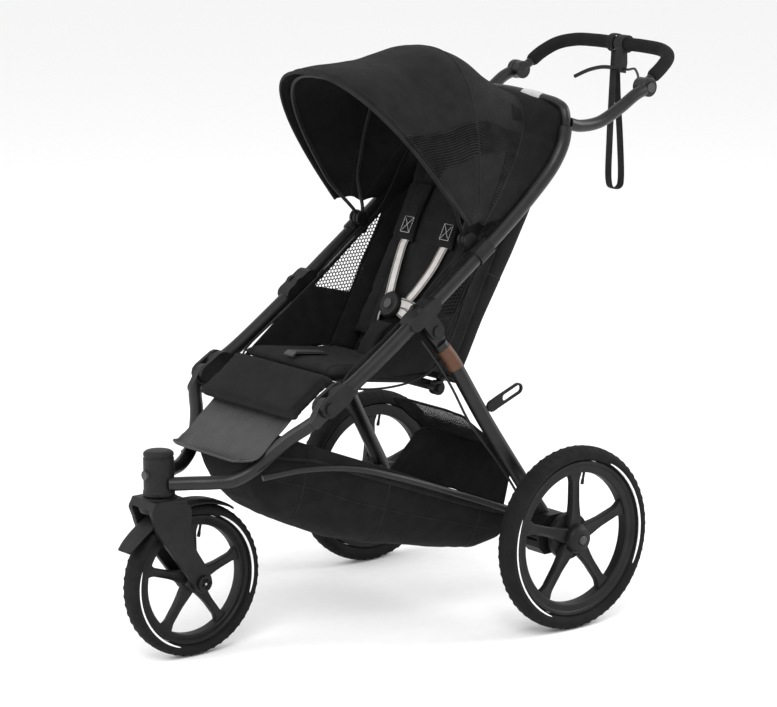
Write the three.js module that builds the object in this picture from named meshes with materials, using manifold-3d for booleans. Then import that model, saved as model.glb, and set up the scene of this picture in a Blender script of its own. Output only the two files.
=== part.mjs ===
// Three-wheeled all-terrain baby stroller. Millimetres, +Z up, the child faces -Y, +X is the stroller's left.
// Everything is laid out from the rear axle's line (y = 0) on the ground (z = 0); the last lines shift it so
// that the origin is the middle of the footprint.
import * as THREE from "three";
import { mergeVertices } from "three/addons/utils/BufferGeometryUtils.js";
import Module from "manifold-3d";

const wasm = await Module();
wasm.setup();

// ---- driving dimensions ----
const GAP = 0.3; // between two pieces that touch
const REAR = { radius: 180, width: 42, x: 316 };
const FRONT = { radius: 147, width: 41, y: -675 };
const SWIVEL_Y = -746; // the caster's axis
const HEAD = { radius: 29, bottom: 321, top: 398 };
const FRAME_X = 192; // half the distance between the two side tubes
const MAIN_R = 14;
const FRONT_TUBE_R = 13;
const LEG_R = 15;
const FOLD = [-505, 486]; // y, z of the main fold joint
const LEG_TOP = [-251, 599]; // y, z of the rear leg's pivot
const LEG_FOOT = [250, -14, 207];
const AXLE_Z = REAR.radius;
const RAIL_PIVOT = [-44, 214]; // y, z of the basket rails' rear pivot
const TONGUE = 15; // thickness of the eyes in the clevises
const RECLINE = [-190, 470]; // y, z of the backrest's hinge
const BACK_ANGLE = 63.4; // degrees above the ground
const BACK_LENGTH = 445;
const HANDLE = [290, 1017]; // y, z of the handlebar's pivots
const CANOPY = [-145, 757]; // y, z of the canopy's pivots
const CANOPY_BOWS = { rear: 50, mid: 85, front: 126 }; // degrees up from +Y

const rad = THREE.MathUtils.degToRad;
const V = (x, y, z) => new THREE.Vector3(x, y, z);
const SIDES = [["left", 1], ["right", -1]];

// ---- materials ----
const paint = (color, roughness, metalness) => new THREE.MeshStandardMaterial({ color, roughness, metalness });
const FRAME = paint(0x141414, 0.45, 0.6);
const STEEL = paint(0x9a9a9a, 0.35, 0.9);
const PLASTIC = paint(0x1a1a1b, 0.6, 0);
const GREY_PLASTIC = paint(0x4a4a4a, 0.6, 0);
const TYRE = paint(0x232324, 0.9, 0);
const FOAM = paint(0x1b1b1b, 0.95, 0);
const FABRIC = paint(0x18181a, 0.95, 0);
const WEBBING = paint(0xc9c5b8, 0.85, 0);
const CABLE = paint(0x0d0d0d, 0.5, 0);

// ---- shape helpers ----

// Only the positions, with shared corners merged, collapsed triangles dropped and every face pointing out.
function closed(geometry) {
  const loose = geometry.index ? geometry.toNonIndexed() : geometry;
  const bare = new THREE.BufferGeometry().setAttribute("position", loose.getAttribute("position"));
  const merged = mergeVertices(bare, 1e-3);
  const p = merged.getAttribute("position");
  const corner = (i) => V(p.getX(i), p.getY(i), p.getZ(i));
  const index = [];
  let volume = 0;
  for (let i = 0; i < merged.index.count; i += 3) {
    const [a, b, c] = [0, 1, 2].map((k) => merged.index.getX(i + k));
    if (a === b || b === c || c === a) continue;
    index.push(a, b, c);
    volume += corner(a).dot(corner(b).cross(corner(c)));
  }
  if (volume < 0) index.reverse();
  return merged.setIndex(index);
}

function solidOf(geometry) {
  const g = closed(geometry);
  const triVerts = new Uint32Array(g.index.array);
  return new wasm.Manifold(new wasm.Mesh({ numProp: 3, vertProperties: g.attributes.position.array, triVerts }));
}

function geometryOf(solid) {
  const mesh = solid.getMesh();
  const position = new THREE.BufferAttribute(mesh.vertProperties, 3);
  return new THREE.BufferGeometry().setAttribute("position", position)
    .setIndex(new THREE.BufferAttribute(mesh.triVerts, 1));
}

const join = (...shapes) => geometryOf(shapes.map(solidOf).reduce((a, b) => a.add(b)));
const cut = (shape, ...tools) => geometryOf(tools.map(solidOf).reduce((a, b) => a.subtract(b), solidOf(shape)));
const common = (...shapes) => geometryOf(shapes.map(solidOf).reduce((a, b) => a.intersect(b)));
const mirrored = (geometry, side) => closed(side > 0 ? geometry : geometry.clone().scale(-1, 1, 1));

// A round bar from one point to another.
function rod(from, to, radius, sides = 12) {
  const along = to.clone().sub(from);
  const turn = new THREE.Quaternion().setFromUnitVectors(V(0, 1, 0), along.clone().normalize());
  const middle = from.clone().add(to).multiplyScalar(0.5);
  return new THREE.CylinderGeometry(radius, radius, along.length(), sides)
    .applyQuaternion(turn).translate(...middle.toArray());
}

const pin = (y, z, radius, x0, x1, sides = 12) => rod(V(x0, y, z), V(x1, y, z), radius, sides);

// A bent tube through points [x, y, z]; a bore makes it a sleeve.
function tube(points, radius, { bore = 0, sides = 8, steps = 2 * points.length } = {}) {
  const curve = new THREE.CatmullRomCurve3(points.map((p) => V(...p)), false, "centripetal");
  const section = new THREE.Shape().absarc(0, 0, radius, 0, 2 * Math.PI);
  if (bore) section.holes.push(new THREE.Path().absarc(0, 0, bore, 0, 2 * Math.PI, true));
  return new THREE.ExtrudeGeometry(section, { steps, curveSegments: sides / 2, extrudePath: curve });
}

// A plate with an outline of [y, z] points, from x0 to x1.
function plate(outline, x0, x1) {
  const shape = new THREE.Shape(outline.map(([y, z]) => new THREE.Vector2(y, z)));
  const g = new THREE.ExtrudeGeometry(shape, { depth: x1 - x0, bevelEnabled: false });
  return g.applyMatrix4(new THREE.Matrix4().makeBasis(V(0, 1, 0), V(0, 0, 1), V(1, 0, 0))).translate(x0, 0, 0);
}

// A body turned about the X axis from a closed profile of [radius, x] points.
function turned(profile, segments = 32) {
  const points = [...profile, profile[0]].map(([r, x]) => new THREE.Vector2(r, x));
  return new THREE.LatheGeometry(points, segments).rotateZ(-Math.PI / 2);
}

const turnedZ = (profile, segments = 20) => turned(profile, segments).rotateY(-Math.PI / 2);

// A flat bar with round ends between two [y, z] points.
function link(a, b, radiusA, radiusB, x0, x1) {
  const angle = Math.atan2(b[1] - a[1], b[0] - a[0]);
  const arc = ([y, z], r, from) => Array.from({ length: 7 }, (_, i) => {
    const t = angle + from + (Math.PI * i) / 6;
    return [y + r * Math.cos(t), z + r * Math.sin(t)];
  });
  return plate([...arc(a, radiusA, Math.PI / 2), ...arc(b, radiusB, -Math.PI / 2)], x0, x1);
}

// A strip of even thickness along [y, z] points, from x0 to x1.
function strip(points, thickness, x0, x1) {
  const offset = (side) => points.map(([y, z], i) => {
    const [before, after] = [points[Math.max(i - 1, 0)], points[Math.min(i + 1, points.length - 1)]];
    const length = Math.hypot(after[0] - before[0], after[1] - before[1]);
    const k = (side * thickness) / 2 / length;
    return [y - (after[1] - before[1]) * k, z + (after[0] - before[0]) * k];
  });
  return plate([...offset(1), ...offset(-1).reverse()], x0, x1);
}

// A curved sheet between two grids of points of equal size, its outer and its inner face.
function sheet(outer, inner) {
  const [rows, columns] = [outer.length, outer[0].length];
  const position = [...outer.flat(), ...inner.flat()].flatMap((p) => p.toArray());
  const at = (face, i, j) => (face * rows + i) * columns + j;
  const index = [];
  const quad = (a, b, c, d) => index.push(a, b, c, a, c, d);
  for (let i = 0; i < rows - 1; i++) {
    for (let j = 0; j < columns - 1; j++) {
      quad(at(0, i, j), at(0, i, j + 1), at(0, i + 1, j + 1), at(0, i + 1, j));
      quad(at(1, i, j), at(1, i + 1, j), at(1, i + 1, j + 1), at(1, i, j + 1));
    }
  }
  for (let i = 0; i < rows - 1; i++) {
    quad(at(0, i, 0), at(0, i + 1, 0), at(1, i + 1, 0), at(1, i, 0));
    quad(at(0, i, columns - 1), at(1, i, columns - 1), at(1, i + 1, columns - 1), at(0, i + 1, columns - 1));
  }
  for (let j = 0; j < columns - 1; j++) {
    quad(at(0, 0, j), at(1, 0, j), at(1, 0, j + 1), at(0, 0, j + 1));
    quad(at(0, rows - 1, j), at(0, rows - 1, j + 1), at(1, rows - 1, j + 1), at(1, rows - 1, j));
  }
  const g = new THREE.BufferGeometry();
  return g.setAttribute("position", new THREE.Float32BufferAttribute(position, 3)).setIndex(index);
}

const stroller = new THREE.Group();
const group = new THREE.Group();

function add(name, geometry, material) {
  const mesh = new THREE.Mesh(closed(geometry), material);
  mesh.geometry.computeVertexNormals();
  mesh.name = name;
  group.add(mesh);
}

// ---- wheels ----

// An air tyre on a five-spoke plastic wheel, about the X axis. The hub reaches inward (-X) by hubIn.
function wheel({ radius, width, hubIn, hubOut }) {
  const k = radius / REAR.radius;
  const half = width / 2;
  const bead = 152 * k;
  const tyre = turned([[bead, -half + 8], [bead + 9 * k, -half + 1], [radius - 9, -half + 2], [radius - 2, -half + 10],
    [radius, 0], [radius - 2, half - 10], [radius - 9, half - 2], [bead + 9 * k, half - 1], [bead, half - 8]]);
  const rim = turned([[128 * k, -10], [bead - GAP, -half + 8], [bead - GAP, half - 8], [128 * k, 10]], 32);
  const hub = turned([[0, -hubIn], [24, -hubIn], [26 * k, 0], [24, hubOut], [0, hubOut]], 15);
  const spoke = plate([[14, -14 * k], [130 * k, -10 * k], [130 * k, 10 * k], [14, 14 * k]], -8, 8);
  const spokes = [0, 1, 2, 3, 4].map((i) => spoke.clone().rotateX(rad(90 + 72 * i)));
  const valve = rod(V(0, 130 * k, 0), V(0, 130 * k - 24, 0), 3.5, 6).rotateX(rad(-12));
  return { tyre, rim: join(rim, hub, ...spokes, valve), bore: pin(0, 0, 6.3, -60, 60, 12) };
}

const rearWheel = wheel({ ...REAR, hubIn: 26, hubOut: 20 });
const hubCap = turned([[0, 18], [24, 18], [22, 26], [16, 28], [0, 28]], 15);
const rearBore = join(rearWheel.bore.clone(), pin(0, 0, 9 + GAP, 21, 40, 12));
const rearRim = cut(join(rearWheel.rim, hubCap), rearBore);
for (const [side, s] of SIDES) {
  const place = (g) => mirrored(g.clone().translate(REAR.x, 0, AXLE_Z), s);
  add(`rear_tyre_${side}`, place(rearWheel.tyre), TYRE);
  add(`rear_rim_${side}`, place(rearRim), PLASTIC);
  const button = turned([[0, 25.5], [9, 25.5], [9, 30], [6, 31.5], [0, 32]], 12);
  add(`wheel_release_${side}`, place(button), GREY_PLASTIC);
}

const frontWheel = wheel({ ...FRONT, hubIn: 24, hubOut: 24 });
const placeFront = (g) => g.clone().translate(0, FRONT.y, FRONT.radius);
add("front_tyre", placeFront(frontWheel.tyre), TYRE);
add("front_rim", placeFront(cut(frontWheel.rim, frontWheel.bore)), PLASTIC);

// ---- caster fork ----

const crownCut = pin(FRONT.y, FRONT.radius, 155, -26.5, 26.5, 40);
function forkBlade(s) {
  const outline = [[-788, 300], [-776, 262], [-748, 222], [-693, 147], [-686, 133], [-675, 128], [-662, 133],
    [-656, 147], [-700, 240], [-706, 300]];
  return mirrored(plate(outline, 27, 40), s);
}
const crown = join(turnedZ([[0, 288], [38, 288], [40, 300], [36, 319], [0, 319]]).translate(0, SWIVEL_Y, 0),
  plate([[-788, 300], [-706, 300], [-712, 316], [-780, 316]], -40, 40));
const forkBore = pin(FRONT.y, FRONT.radius, 6.3, -60, 60, 24);
const stem = rod(V(0, SWIVEL_Y, 310), V(0, SWIVEL_Y, 393), 10, 20);
add("front_axle", join(pin(FRONT.y, FRONT.radius, 6, -40, 40), pin(FRONT.y, FRONT.radius, 11, 40.3, 47),
  pin(FRONT.y, FRONT.radius, 11, -47, -40.3), pin(FRONT.y, FRONT.radius, 5, -44, 44)), STEEL);

// The mudguard follows the tyre from behind to in front of it, where it flares.
function mudguard() {
  const [from, to, steps] = [56, 153, 12];
  const ring = (extra) => Array.from({ length: steps + 1 }, (_, i) => {
    const t = i / steps;
    const angle = rad(from + (to - from) * t);
    const r = 153 + 18 * t ** 4 + extra;
    return [FRONT.y + r * Math.cos(angle), FRONT.radius + r * Math.sin(angle)];
  });
  return plate([...ring(0), ...ring(3).reverse()], -25, 25);
}
const forkBody = cut(join(crown, forkBlade(1), forkBlade(-1), stem), crownCut, forkBore);
add("caster_fork", join(forkBody, mudguard()), PLASTIC);

// ---- head tube and the front frame ----

const headHole = rod(V(0, SWIVEL_Y, HEAD.bottom - 1), V(0, SWIVEL_Y, HEAD.top - 3), 10.4, 20);
const buttonAt = (y0, y1, radius) => rod(V(0, SWIVEL_Y + y0, 362), V(0, SWIVEL_Y + y1, 362), radius, 16);
const headBody = turnedZ([[0, HEAD.bottom], [HEAD.radius + 1, HEAD.bottom], [HEAD.radius, 394], [HEAD.radius - 2, 394],
  [HEAD.radius - 2, 396], [HEAD.radius, 396], [HEAD.radius - 1, 402], [HEAD.radius - 7, 405], [0, 406]])
  .translate(0, SWIVEL_Y, 0);
add("head_tube", cut(headBody, headHole, buttonAt(-40, -16, 9 + GAP)), PLASTIC);
add("swivel_lock_button", buttonAt(-33, -20, 9), GREY_PLASTIC);

const headClear = rod(V(0, SWIVEL_Y, HEAD.bottom - 10), V(0, SWIVEL_Y, HEAD.top + 10), HEAD.radius + 1 + GAP, 32);
const frontTubeLine = [[24, -742, 345], [45, -705, 345], [66, -672, 345], [82, -640, 347], [100, -606, 364],
  [122, -577, 396], [148, -555, 426], [176, -538, 449], [192, -527, 463]];
const tongueX = [FRAME_X - TONGUE / 2, FRAME_X + TONGUE / 2];
for (const [side, s] of SIDES) {
  const eye = link(FOLD, [-529, 461], 19, 12, ...tongueX);
  const hole = pin(...FOLD, 5 + GAP, tongueX[0] - 5, tongueX[1] + 5);
  add(`front_tube_${side}`, mirrored(cut(join(tube(frontTubeLine, FRONT_TUBE_R), eye), hole, headClear), s), FRAME);
}

// The footrest plate: a sloping curved plate whose front edge flares forward.
const footrestLine = [[-543, 436], [-566, 418], [-590, 397], [-606, 387], [-624, 383], [-642, 384]];
const frontTubeClear = SIDES.map(([, s]) => mirrored(tube(frontTubeLine, FRONT_TUBE_R + GAP), s));
add("footrest", cut(strip(footrestLine, 4, -122, 122), ...frontTubeClear), GREY_PLASTIC);

// ---- main frame ----

const mainLine = [[-483, 499], [-439, 521], [-321, 599], [-195, 689], [-77, 775], [-10, 829], [48, 885],
  [72, 925], [79, 958]];
const mainPath = mainLine.map(([y, z]) => [FRAME_X, y, z]);
const mainTube = tube(mainPath, MAIN_R, { sides: 10, steps: 12 });
const mainTubeClear = tube(mainPath, MAIN_R + GAP, { sides: 10, steps: 12 });
const pivotPin = (at) => join(pin(...at, 5, 176, 212), pin(...at, 11, 207, 212));
const cheeks = (a, b, r, gap = TONGUE / 2 + GAP) => [
  link(a, b, r, r, FRAME_X + gap, FRAME_X + gap + 9),
  link(a, b, r, r, FRAME_X - gap - 9, FRAME_X - gap),
];
const topBow = [[192, 79, 950], [191, 80, 975], [183, 82, 990], [160, 85, 998], [110, 88, 1003], [0, 92, 1008],
  [-110, 88, 1003], [-160, 85, 998], [-183, 82, 990], [-191, 80, 975], [-192, 79, 950]];
const seatFrontBar = rod(V(-FRAME_X, -436, 506), V(FRAME_X, -436, 506), 8);
add("main_frame", join(mainTube, mirrored(mainTube, -1), tube(topBow, 10, { steps: 18 }), seatFrontBar), FRAME);
for (const [side, s] of SIDES) {
  const block = link([-478, 504], [-466, 509], 17, 16, FRAME_X - 17, FRAME_X + 17);
  const eyeClear = pin(...FOLD, 21, tongueX[0] - GAP, tongueX[1] + GAP, 20);
  const housing = cut(join(...cheeks(FOLD, [-470, 507], 19), block), mainTubeClear, eyeClear);
  add(`fold_housing_${side}`, mirrored(join(housing, pivotPin(FOLD)), s), PLASTIC);

  const saddle = [-279, 634];
  const legEyeClear = pin(...LEG_TOP, 20, tongueX[0] - GAP, tongueX[1] + GAP, 20);
  const saddleBlock = link([-300, 618], [-256, 648], 15, 15, FRAME_X - 17, FRAME_X + 17);
  const bracket = cut(join(...cheeks(LEG_TOP, saddle, 17), saddleBlock), mainTubeClear, legEyeClear);
  add(`leg_bracket_${side}`, mirrored(join(bracket, pivotPin(LEG_TOP)), s), PLASTIC);
}

// ---- seat base ----

add("seat_base", join(strip([[-190, 479], [-424, 514]], 6, -118, 118), pin(...RECLINE, 8, -146, 146)), PLASTIC);
add("seat_pad", plate([[-216, 510], [-240, 512], [-441, 540], [-452, 533], [-444, 521], [-216, 487]], -150, 150),
  FABRIC);
const calfLine = [[-456, 535], [-556, 464], [-557, 455], [-550, 449], [-452, 516]];
add("calf_pad", cut(plate(calfLine, -158, 158), ...frontTubeClear), FABRIC);
for (const [side, s] of SIDES) {
  const wing = [[-436, 516], [-226, 512], [-84, 762], [-5, 822], [45, 915], [-15, 895], [-92, 778], [-195, 692],
    [-321, 602]];
  add(`side_wing_${side}`, mirrored(plate(wing, 157, 161), s), FABRIC);
}
add("fold_grip", strip([[-445, 545], [-436, 551], [-366, 541], [-358, 533]], 4, -14, 14), GREY_PLASTIC);

// ---- backrest, in its own line: along runs up the backrest, off points to the child ----

const onBack = (along, off) => [
  RECLINE[0] + along * Math.cos(rad(BACK_ANGLE)) - off * Math.sin(rad(BACK_ANGLE)),
  RECLINE[1] + along * Math.sin(rad(BACK_ANGLE)) + off * Math.cos(rad(BACK_ANGLE)),
];
const backPlate = (rows, x0, x1) => plate(rows.map(([along, off]) => onBack(along, off)), x0, x1);
const BACK_TOP = BACK_LENGTH + 10;
add("backrest_pad", backPlate([[46, 7], [60, 36], [BACK_TOP, 36], [BACK_TOP + 12, 28], [BACK_TOP + 12, 7]],
  -148, 148), FABRIC);
const backBoard = backPlate([[44, -4], [44, 5], [BACK_TOP, 5], [BACK_TOP, -4]], -140, 140);
const backTube = [[14, 0], [40, -10], [BACK_LENGTH - 30, -10], [BACK_LENGTH - 6, -10]]
  .map(([along, off]) => [132, ...onBack(along, off)]);
const backArch = [[118, BACK_LENGTH + 8], [90, BACK_LENGTH + 12]].map(([x, along]) => [x, ...onBack(along, -10)]);
const backHalf = [...backTube, ...backArch];
const backFrame = tube([...backHalf, ...backHalf.map(([x, y, z]) => [-x, y, z]).reverse()], 8, { steps: 22 });
const backEyes = SIDES.map(([, s]) => mirrored(pin(...RECLINE, 14, 124, 140), s));
const hingeHole = pin(...RECLINE, 8 + GAP, -160, 160);
add("backrest_frame", cut(join(backFrame, backBoard, ...backEyes), hingeHole), FRAME);

// ---- harness ----

for (const [side, s] of SIDES) {
  const shoulder = backPlate([[255, 37], [255, 46], [380, 46], [388, 41], [380, 37]], 37, 83);
  const webbing = tube([[60, ...onBack(264, 42)], [52, ...onBack(215, 44)], [38, ...onBack(165, 50)],
    [27, ...onBack(134, 56)]], 4.5, { sides: 6, steps: 6 });
  add(`shoulder_strap_${side}`, mirrored(join(shoulder, webbing), s), WEBBING);
}
const BUCKLE = [-195, 612];
const buckleBody = turned([[0, -10], [24, -10], [27, -4], [27, 5], [23, 10], [0, 10]], 16)
  .rotateZ(Math.PI / 2).rotateX(rad(BACK_ANGLE - 90)).translate(0, ...BUCKLE);
const alongBuckle = (distance) => V(0, BUCKLE[0] - distance * Math.sin(rad(BACK_ANGLE)),
  BUCKLE[1] + distance * Math.cos(rad(BACK_ANGLE)));
add("buckle", cut(buckleBody, rod(alongBuckle(5), alongBuckle(30), 10 + GAP, 20)), PLASTIC);
add("buckle_button", rod(alongBuckle(7.5), alongBuckle(11.5), 10, 20), GREY_PLASTIC);
const crotch = strip([[-262, 518.5], [-250, 545], [-224, 572], [-210, 580]], 12, -24, 24);
add("crotch_strap", crotch, FABRIC);

// ---- rear legs, axle and brakes ----

const legTop = [LEG_TOP[0] + 17, LEG_TOP[1] - 27];
const legPath = [[FRAME_X, ...legTop], [FRAME_X + 6, -209, 537], [221, -136, 403], LEG_FOOT];
const legClear = tube(legPath, LEG_R + GAP, { sides: 10, steps: 5 });
for (const [side, s] of SIDES) {
  const eye = link(LEG_TOP, legTop, 18, 13, ...tongueX);
  const bar = tube(legPath, LEG_R, { sides: 10, steps: 5 });
  const hole = pin(...LEG_TOP, 5 + GAP, 160, 220);
  const slots = [176, 186, 196].map((z) => plate([[-75, z - 2], [-35, z - 2], [-35, z + 2], [-75, z + 2]], 240, 280));
  const block = plate([[-60, 162], [-60, 202], [-34, 222], [4, 222], [22, 200], [22, 160], [0, 146], [-44, 146]],
    236, 284);
  const lug = link(RAIL_PIVOT, [-36, 200], 12, 12, 224, 237);
  const axleHole = pin(0, AXLE_Z, 6 + GAP, 200, 300, 24);
  const lugHole = pin(...RAIL_PIVOT, 6 + GAP, 215, 245);
  const beamHole = pin(0, AXLE_Z, MAIN_R + GAP, 200, 262, 24);
  add(`rear_leg_${side}`, mirrored(cut(join(bar, eye), hole), s), FRAME);
  const axleHousing = cut(join(block, lug), ...slots, axleHole, lugHole, beamHole, legClear);
  add(`axle_housing_${side}`, mirrored(axleHousing, s), PLASTIC);
}
const lowerCable = [[189, -274, 581], [196, -232, 522], [201, -207, 480], [211, -172, 410], [221, -118, 336],
  [229, -78, 276], [240, -60, 236], [247, -52, 215]];
add("brake_cable_lower", tube(lowerCable, 2.5, { sides: 6, steps: 12 }), CABLE);
add("rear_axle", join(pin(0, AXLE_Z, MAIN_R, -261.5, 261.5), pin(0, AXLE_Z, 6, -335.5, 335.5)), FRAME);

// The storage strap's loop, on the back of the left leg.
const loop = link([-106, 449], [-62, 466], 11, 11, 218, 224);
const loopHole = link([-95, 453], [-62, 466], 7, 7, 210, 230);
add("storage_loop", cut(join(loop, link([-128, 440], [-106, 449], 11, 11, 218, 224)), loopHole, legClear), PLASTIC);

// ---- basket ----

const railLine = [[128, -602, 355], [148, -520, 362], [168, -420, 352], [186, -330, 325], [202, -179, 268],
  [212, -70, 224], [214, -44, 214]];
const rail = tube(railLine, 6, { sides: 6, steps: 12 });
add("basket_frame", join(rail, mirrored(rail, -1), pin(...RAIL_PIVOT, 6, -236, 236)), FRAME);

const BASKET_WALL = 3;
function basketShape(inset, rise) {
  const side = [[-598 + inset, 382 + rise], [-584, 391 + rise], [-556, 404 + rise], [-486, 398 + rise], [-323, 334 + rise],
    [-179, 273 + rise], [-58 - inset, 226 + rise], [-56 - inset, 140 + inset], [-94, 126 + inset],
    [-306, 166 + inset], [-398, 192 + inset], [-487, 235 + inset], [-534 + inset, 258 + inset], [-568 + inset, 290],
    [-590 + inset, 330]];
  const plan = [[70, -620], [80, -600], [99, -577], [120, -548], [136, -500], [155, -420], [172, -330], [187, -179], [194, -40]]
    .map(([x, y]) => [x - inset, y]);
  const front = [[200 - inset, 600], [200 - inset, 330], [168 - inset, 110]];
  const both = (half) => [...half, ...half.map(([a, b]) => [-a, b]).reverse()].map((p) => new THREE.Vector2(...p));
  const planBody = new THREE.ExtrudeGeometry(new THREE.Shape(both(plan)), { depth: 600, bevelEnabled: false });
  const frontBody = new THREE.ExtrudeGeometry(new THREE.Shape(both(front)), { depth: 700, bevelEnabled: false })
    .rotateX(Math.PI / 2);
  return common(plate(side, -200, 200), planBody, frontBody);
}
add("basket", cut(basketShape(0, 0), basketShape(BASKET_WALL, 30)), FABRIC);

// ---- canopy: bows and fabric are arches about the pivot line, at an angle up from +Y ----

const arm = (angle, r) => [CANOPY[0] + r * Math.cos(rad(angle)), CANOPY[1] + r * Math.sin(rad(angle))];
const radiusCurve = new THREE.SplineCurve([[45, 338], [55, 322], [66, 323], [78, 346], [88, 355], [97, 347],
  [106, 346], [115, 364], [123, 392], [129, 411]].map((p) => new THREE.Vector2(...p)));
const widthAt = (angle) => THREE.MathUtils.lerp(186, 206, THREE.MathUtils.smoothstep(angle, 50, 125));
function radiusAt(angle) {
  let [low, high] = [0, 1];
  for (let i = 0; i < 30; i++) {
    const middle = (low + high) / 2;
    if (radiusCurve.getPoint(middle).x < angle) low = middle;
    else high = middle;
  }
  return radiusCurve.getPoint(low).y;
}
// The arch is a superellipse: t runs from one hub (0) over the top (0.5) to the other (1).
const SQUARENESS = 2.5;
function archPoint(angle, t, inset = 0) {
  const turn = Math.PI * t;
  const power = (v) => Math.sign(v) * Math.abs(v) ** (2 / SQUARENESS);
  const r = Math.max(power(Math.sin(turn)), 0) * (radiusAt(angle) - inset);
  return V(power(Math.cos(turn)) * (widthAt(angle) - inset), ...arm(angle, r));
}
function canopyPanel(from, to) {
  const [rows, columns, first] = [4, 16, 0.02];
  const grid = (inset) => Array.from({ length: rows + 1 }, (_, i) =>
    Array.from({ length: columns + 1 }, (_, j) =>
      archPoint(from + ((to - from) * i) / rows, first + ((1 - 2 * first) * j) / columns, inset)));
  return sheet(grid(0), grid(2.5));
}
function canopyBow(angle, x0, x1) {
  const inset = 14;
  const over = Array.from({ length: 15 }, (_, i) => archPoint(angle, 0.05 + (0.9 * i) / 14, inset).toArray());
  const middle = (x0 + x1) / 2;
  const foot = (s) => [[s * middle, ...arm(angle, 6)], [s * middle, ...arm(angle, 22)]];
  const bow = tube([...foot(1), ...over, ...foot(-1).reverse()], 4.5, { sides: 6, steps: 26 });
  const hubs = SIDES.map(([, s]) => mirrored(pin(...CANOPY, 14, x0, x1), s));
  const holes = SIDES.map(([, s]) => mirrored(pin(...CANOPY, 4 + GAP, x0 - 10, x1 + 40), s));
  return cut(join(bow, ...hubs), ...holes);
}
// Each pivot stands on a clamp around the side tube.
const clamp = rod(V(FRAME_X, -146, 724.7), V(FRAME_X, -114, 748), MAIN_R + 4);
const clampArm = link(CANOPY, [-130, 736.4], 15, 15, 173, 178);
const canopyPivot = join(cut(join(clamp, clampArm), mainTubeClear), pin(...CANOPY, 4, 150, 176));
for (const [side, s] of SIDES) add(`canopy_pivot_${side}`, mirrored(canopyPivot, s), PLASTIC);
add("canopy_mid_bow", canopyBow(CANOPY_BOWS.mid, 153, 160), FRAME);
add("canopy_front_bow", canopyBow(CANOPY_BOWS.front, 163, 170), FRAME);
add("canopy_rear_panel", canopyPanel(CANOPY_BOWS.rear, CANOPY_BOWS.mid - 0.3), FABRIC);
add("canopy_front_panel", canopyPanel(CANOPY_BOWS.mid + 0.3, CANOPY_BOWS.front + 2), FABRIC);

// ---- handlebar ----

for (const [side, s] of SIDES) {
  const hubClear = pin(...HANDLE, 19.5, 160, 190 + GAP, 16);
  const armLine = [[192, 88, 962], [192, 115, 955], [192, 167, 958], [195, 219, 982], [197, 256, 1004],
    [197, 280, 1013]];
  const hub = pin(...HANDLE, 19, 190.3, 204);
  const recess = pin(...HANDLE, 10 + GAP, 196, 210);
  const bowClear = tube(topBow, 10 + GAP, { steps: 18 });
  const armBody = join(tube(armLine, 12), hub);
  add(`handle_arm_${side}`, mirrored(cut(armBody, recess, hubClear, bowClear, mainTubeClear), s), FRAME);
  add(`handle_button_${side}`, mirrored(pin(...HANDLE, 10, 199.6, 208), s), GREY_PLASTIC);
}
const gripHalf = [[180, 290, 1017], [180, 312, 1030], [178, 344, 1050], [164, 374, 1067], [130, 392, 1076],
  [70, 397, 1079], [25, 397, 1079]];
const gripLine = [...gripHalf, ...gripHalf.map(([x, y, z]) => [-x, y, z]).reverse()];
const gripHubs = SIDES.map(([, s]) => mirrored(pin(...HANDLE, 18, 172, 190), s));
add("handlebar", join(tube(gripLine, 9, { steps: 18 }), ...gripHubs), FRAME);
add("grip_foam", cut(tube(gripLine, 13.5, { bore: 9 + 2 * GAP, steps: 18 }),
  pin(...HANDLE, 22, -250, 250, 16)), FOAM);

const GRIP = gripLine[5];
const gripClear = (x0, x1) => pin(GRIP[1], GRIP[2], 13.5 + GAP, x0, x1, 24);
const clampRing = cut(pin(GRIP[1], GRIP[2], 18, 0, 24, 24), gripClear(-9, 33));
const leverBody = plate([[384, 1068], [380, 1040], [384, 1022], [394, 1020], [398, 1040], [397, 1066]], 2, 22);
const LEVER_PIVOT = [12, 386, 1034];
const leverSlot = new THREE.BoxGeometry(30, 8.6, 26).translate(0, LEVER_PIVOT[1], LEVER_PIVOT[2]);
add("brake_bracket", cut(join(clampRing, leverBody), gripClear(-9, 40), leverSlot), PLASTIC);
const bladeLine = [[10, 386, 1034], [-8, 386, 1030], [-40, 385, 1028], [-80, 384, 1018], [-118, 382, 1002]];
const blade = tube(bladeLine, 4, { sides: 8 });
add("brake_lever", join(blade, rod(V(8, 382.4, 1034), V(8, 389.6, 1034), 6, 16)), PLASTIC);
const upperCable = [[22.9, 389, 1029], [34, 388, 1029], [60, 378, 1034], [95, 352, 1037], [130, 326, 1031],
  [154, 305, 1025], [167, 297, 1020]];
add("brake_cable_upper", cut(tube(upperCable, 2.5, { sides: 6, steps: 12 }), ...gripHubs.map((hub) =>
  hub.clone().translate(-GAP, 0, 0))), CABLE);

// The wrist strap is a loop of webbing that hangs under the grip.
const strapRing = cut(pin(GRIP[1], GRIP[2], 16.5, -22, -4, 24), gripClear(-30, 4));
const strapLoop = strip([[394, 1064.3], [389, 980], [384, 880], [383, 800], [388, 785], [402, 780], [414, 785],
  [417, 800], [413, 880], [404, 980], [400, 1064.3]], 2, -22, -4);
add("wrist_strap", join(strapRing, strapLoop), FABRIC);

// ---- origin at the middle of the footprint ----

const box = new THREE.Box3().setFromObject(group);
group.position.y = -(box.min.y + box.max.y) / 2;
stroller.add(group);

export default stroller;
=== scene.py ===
from functools import partial
from math import atan2, copysign, cos, dist, exp, pi, radians, sin, sqrt

import bpy
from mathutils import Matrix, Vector, noise
from mathutils.geometry import delaunay_2d_cdt


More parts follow.
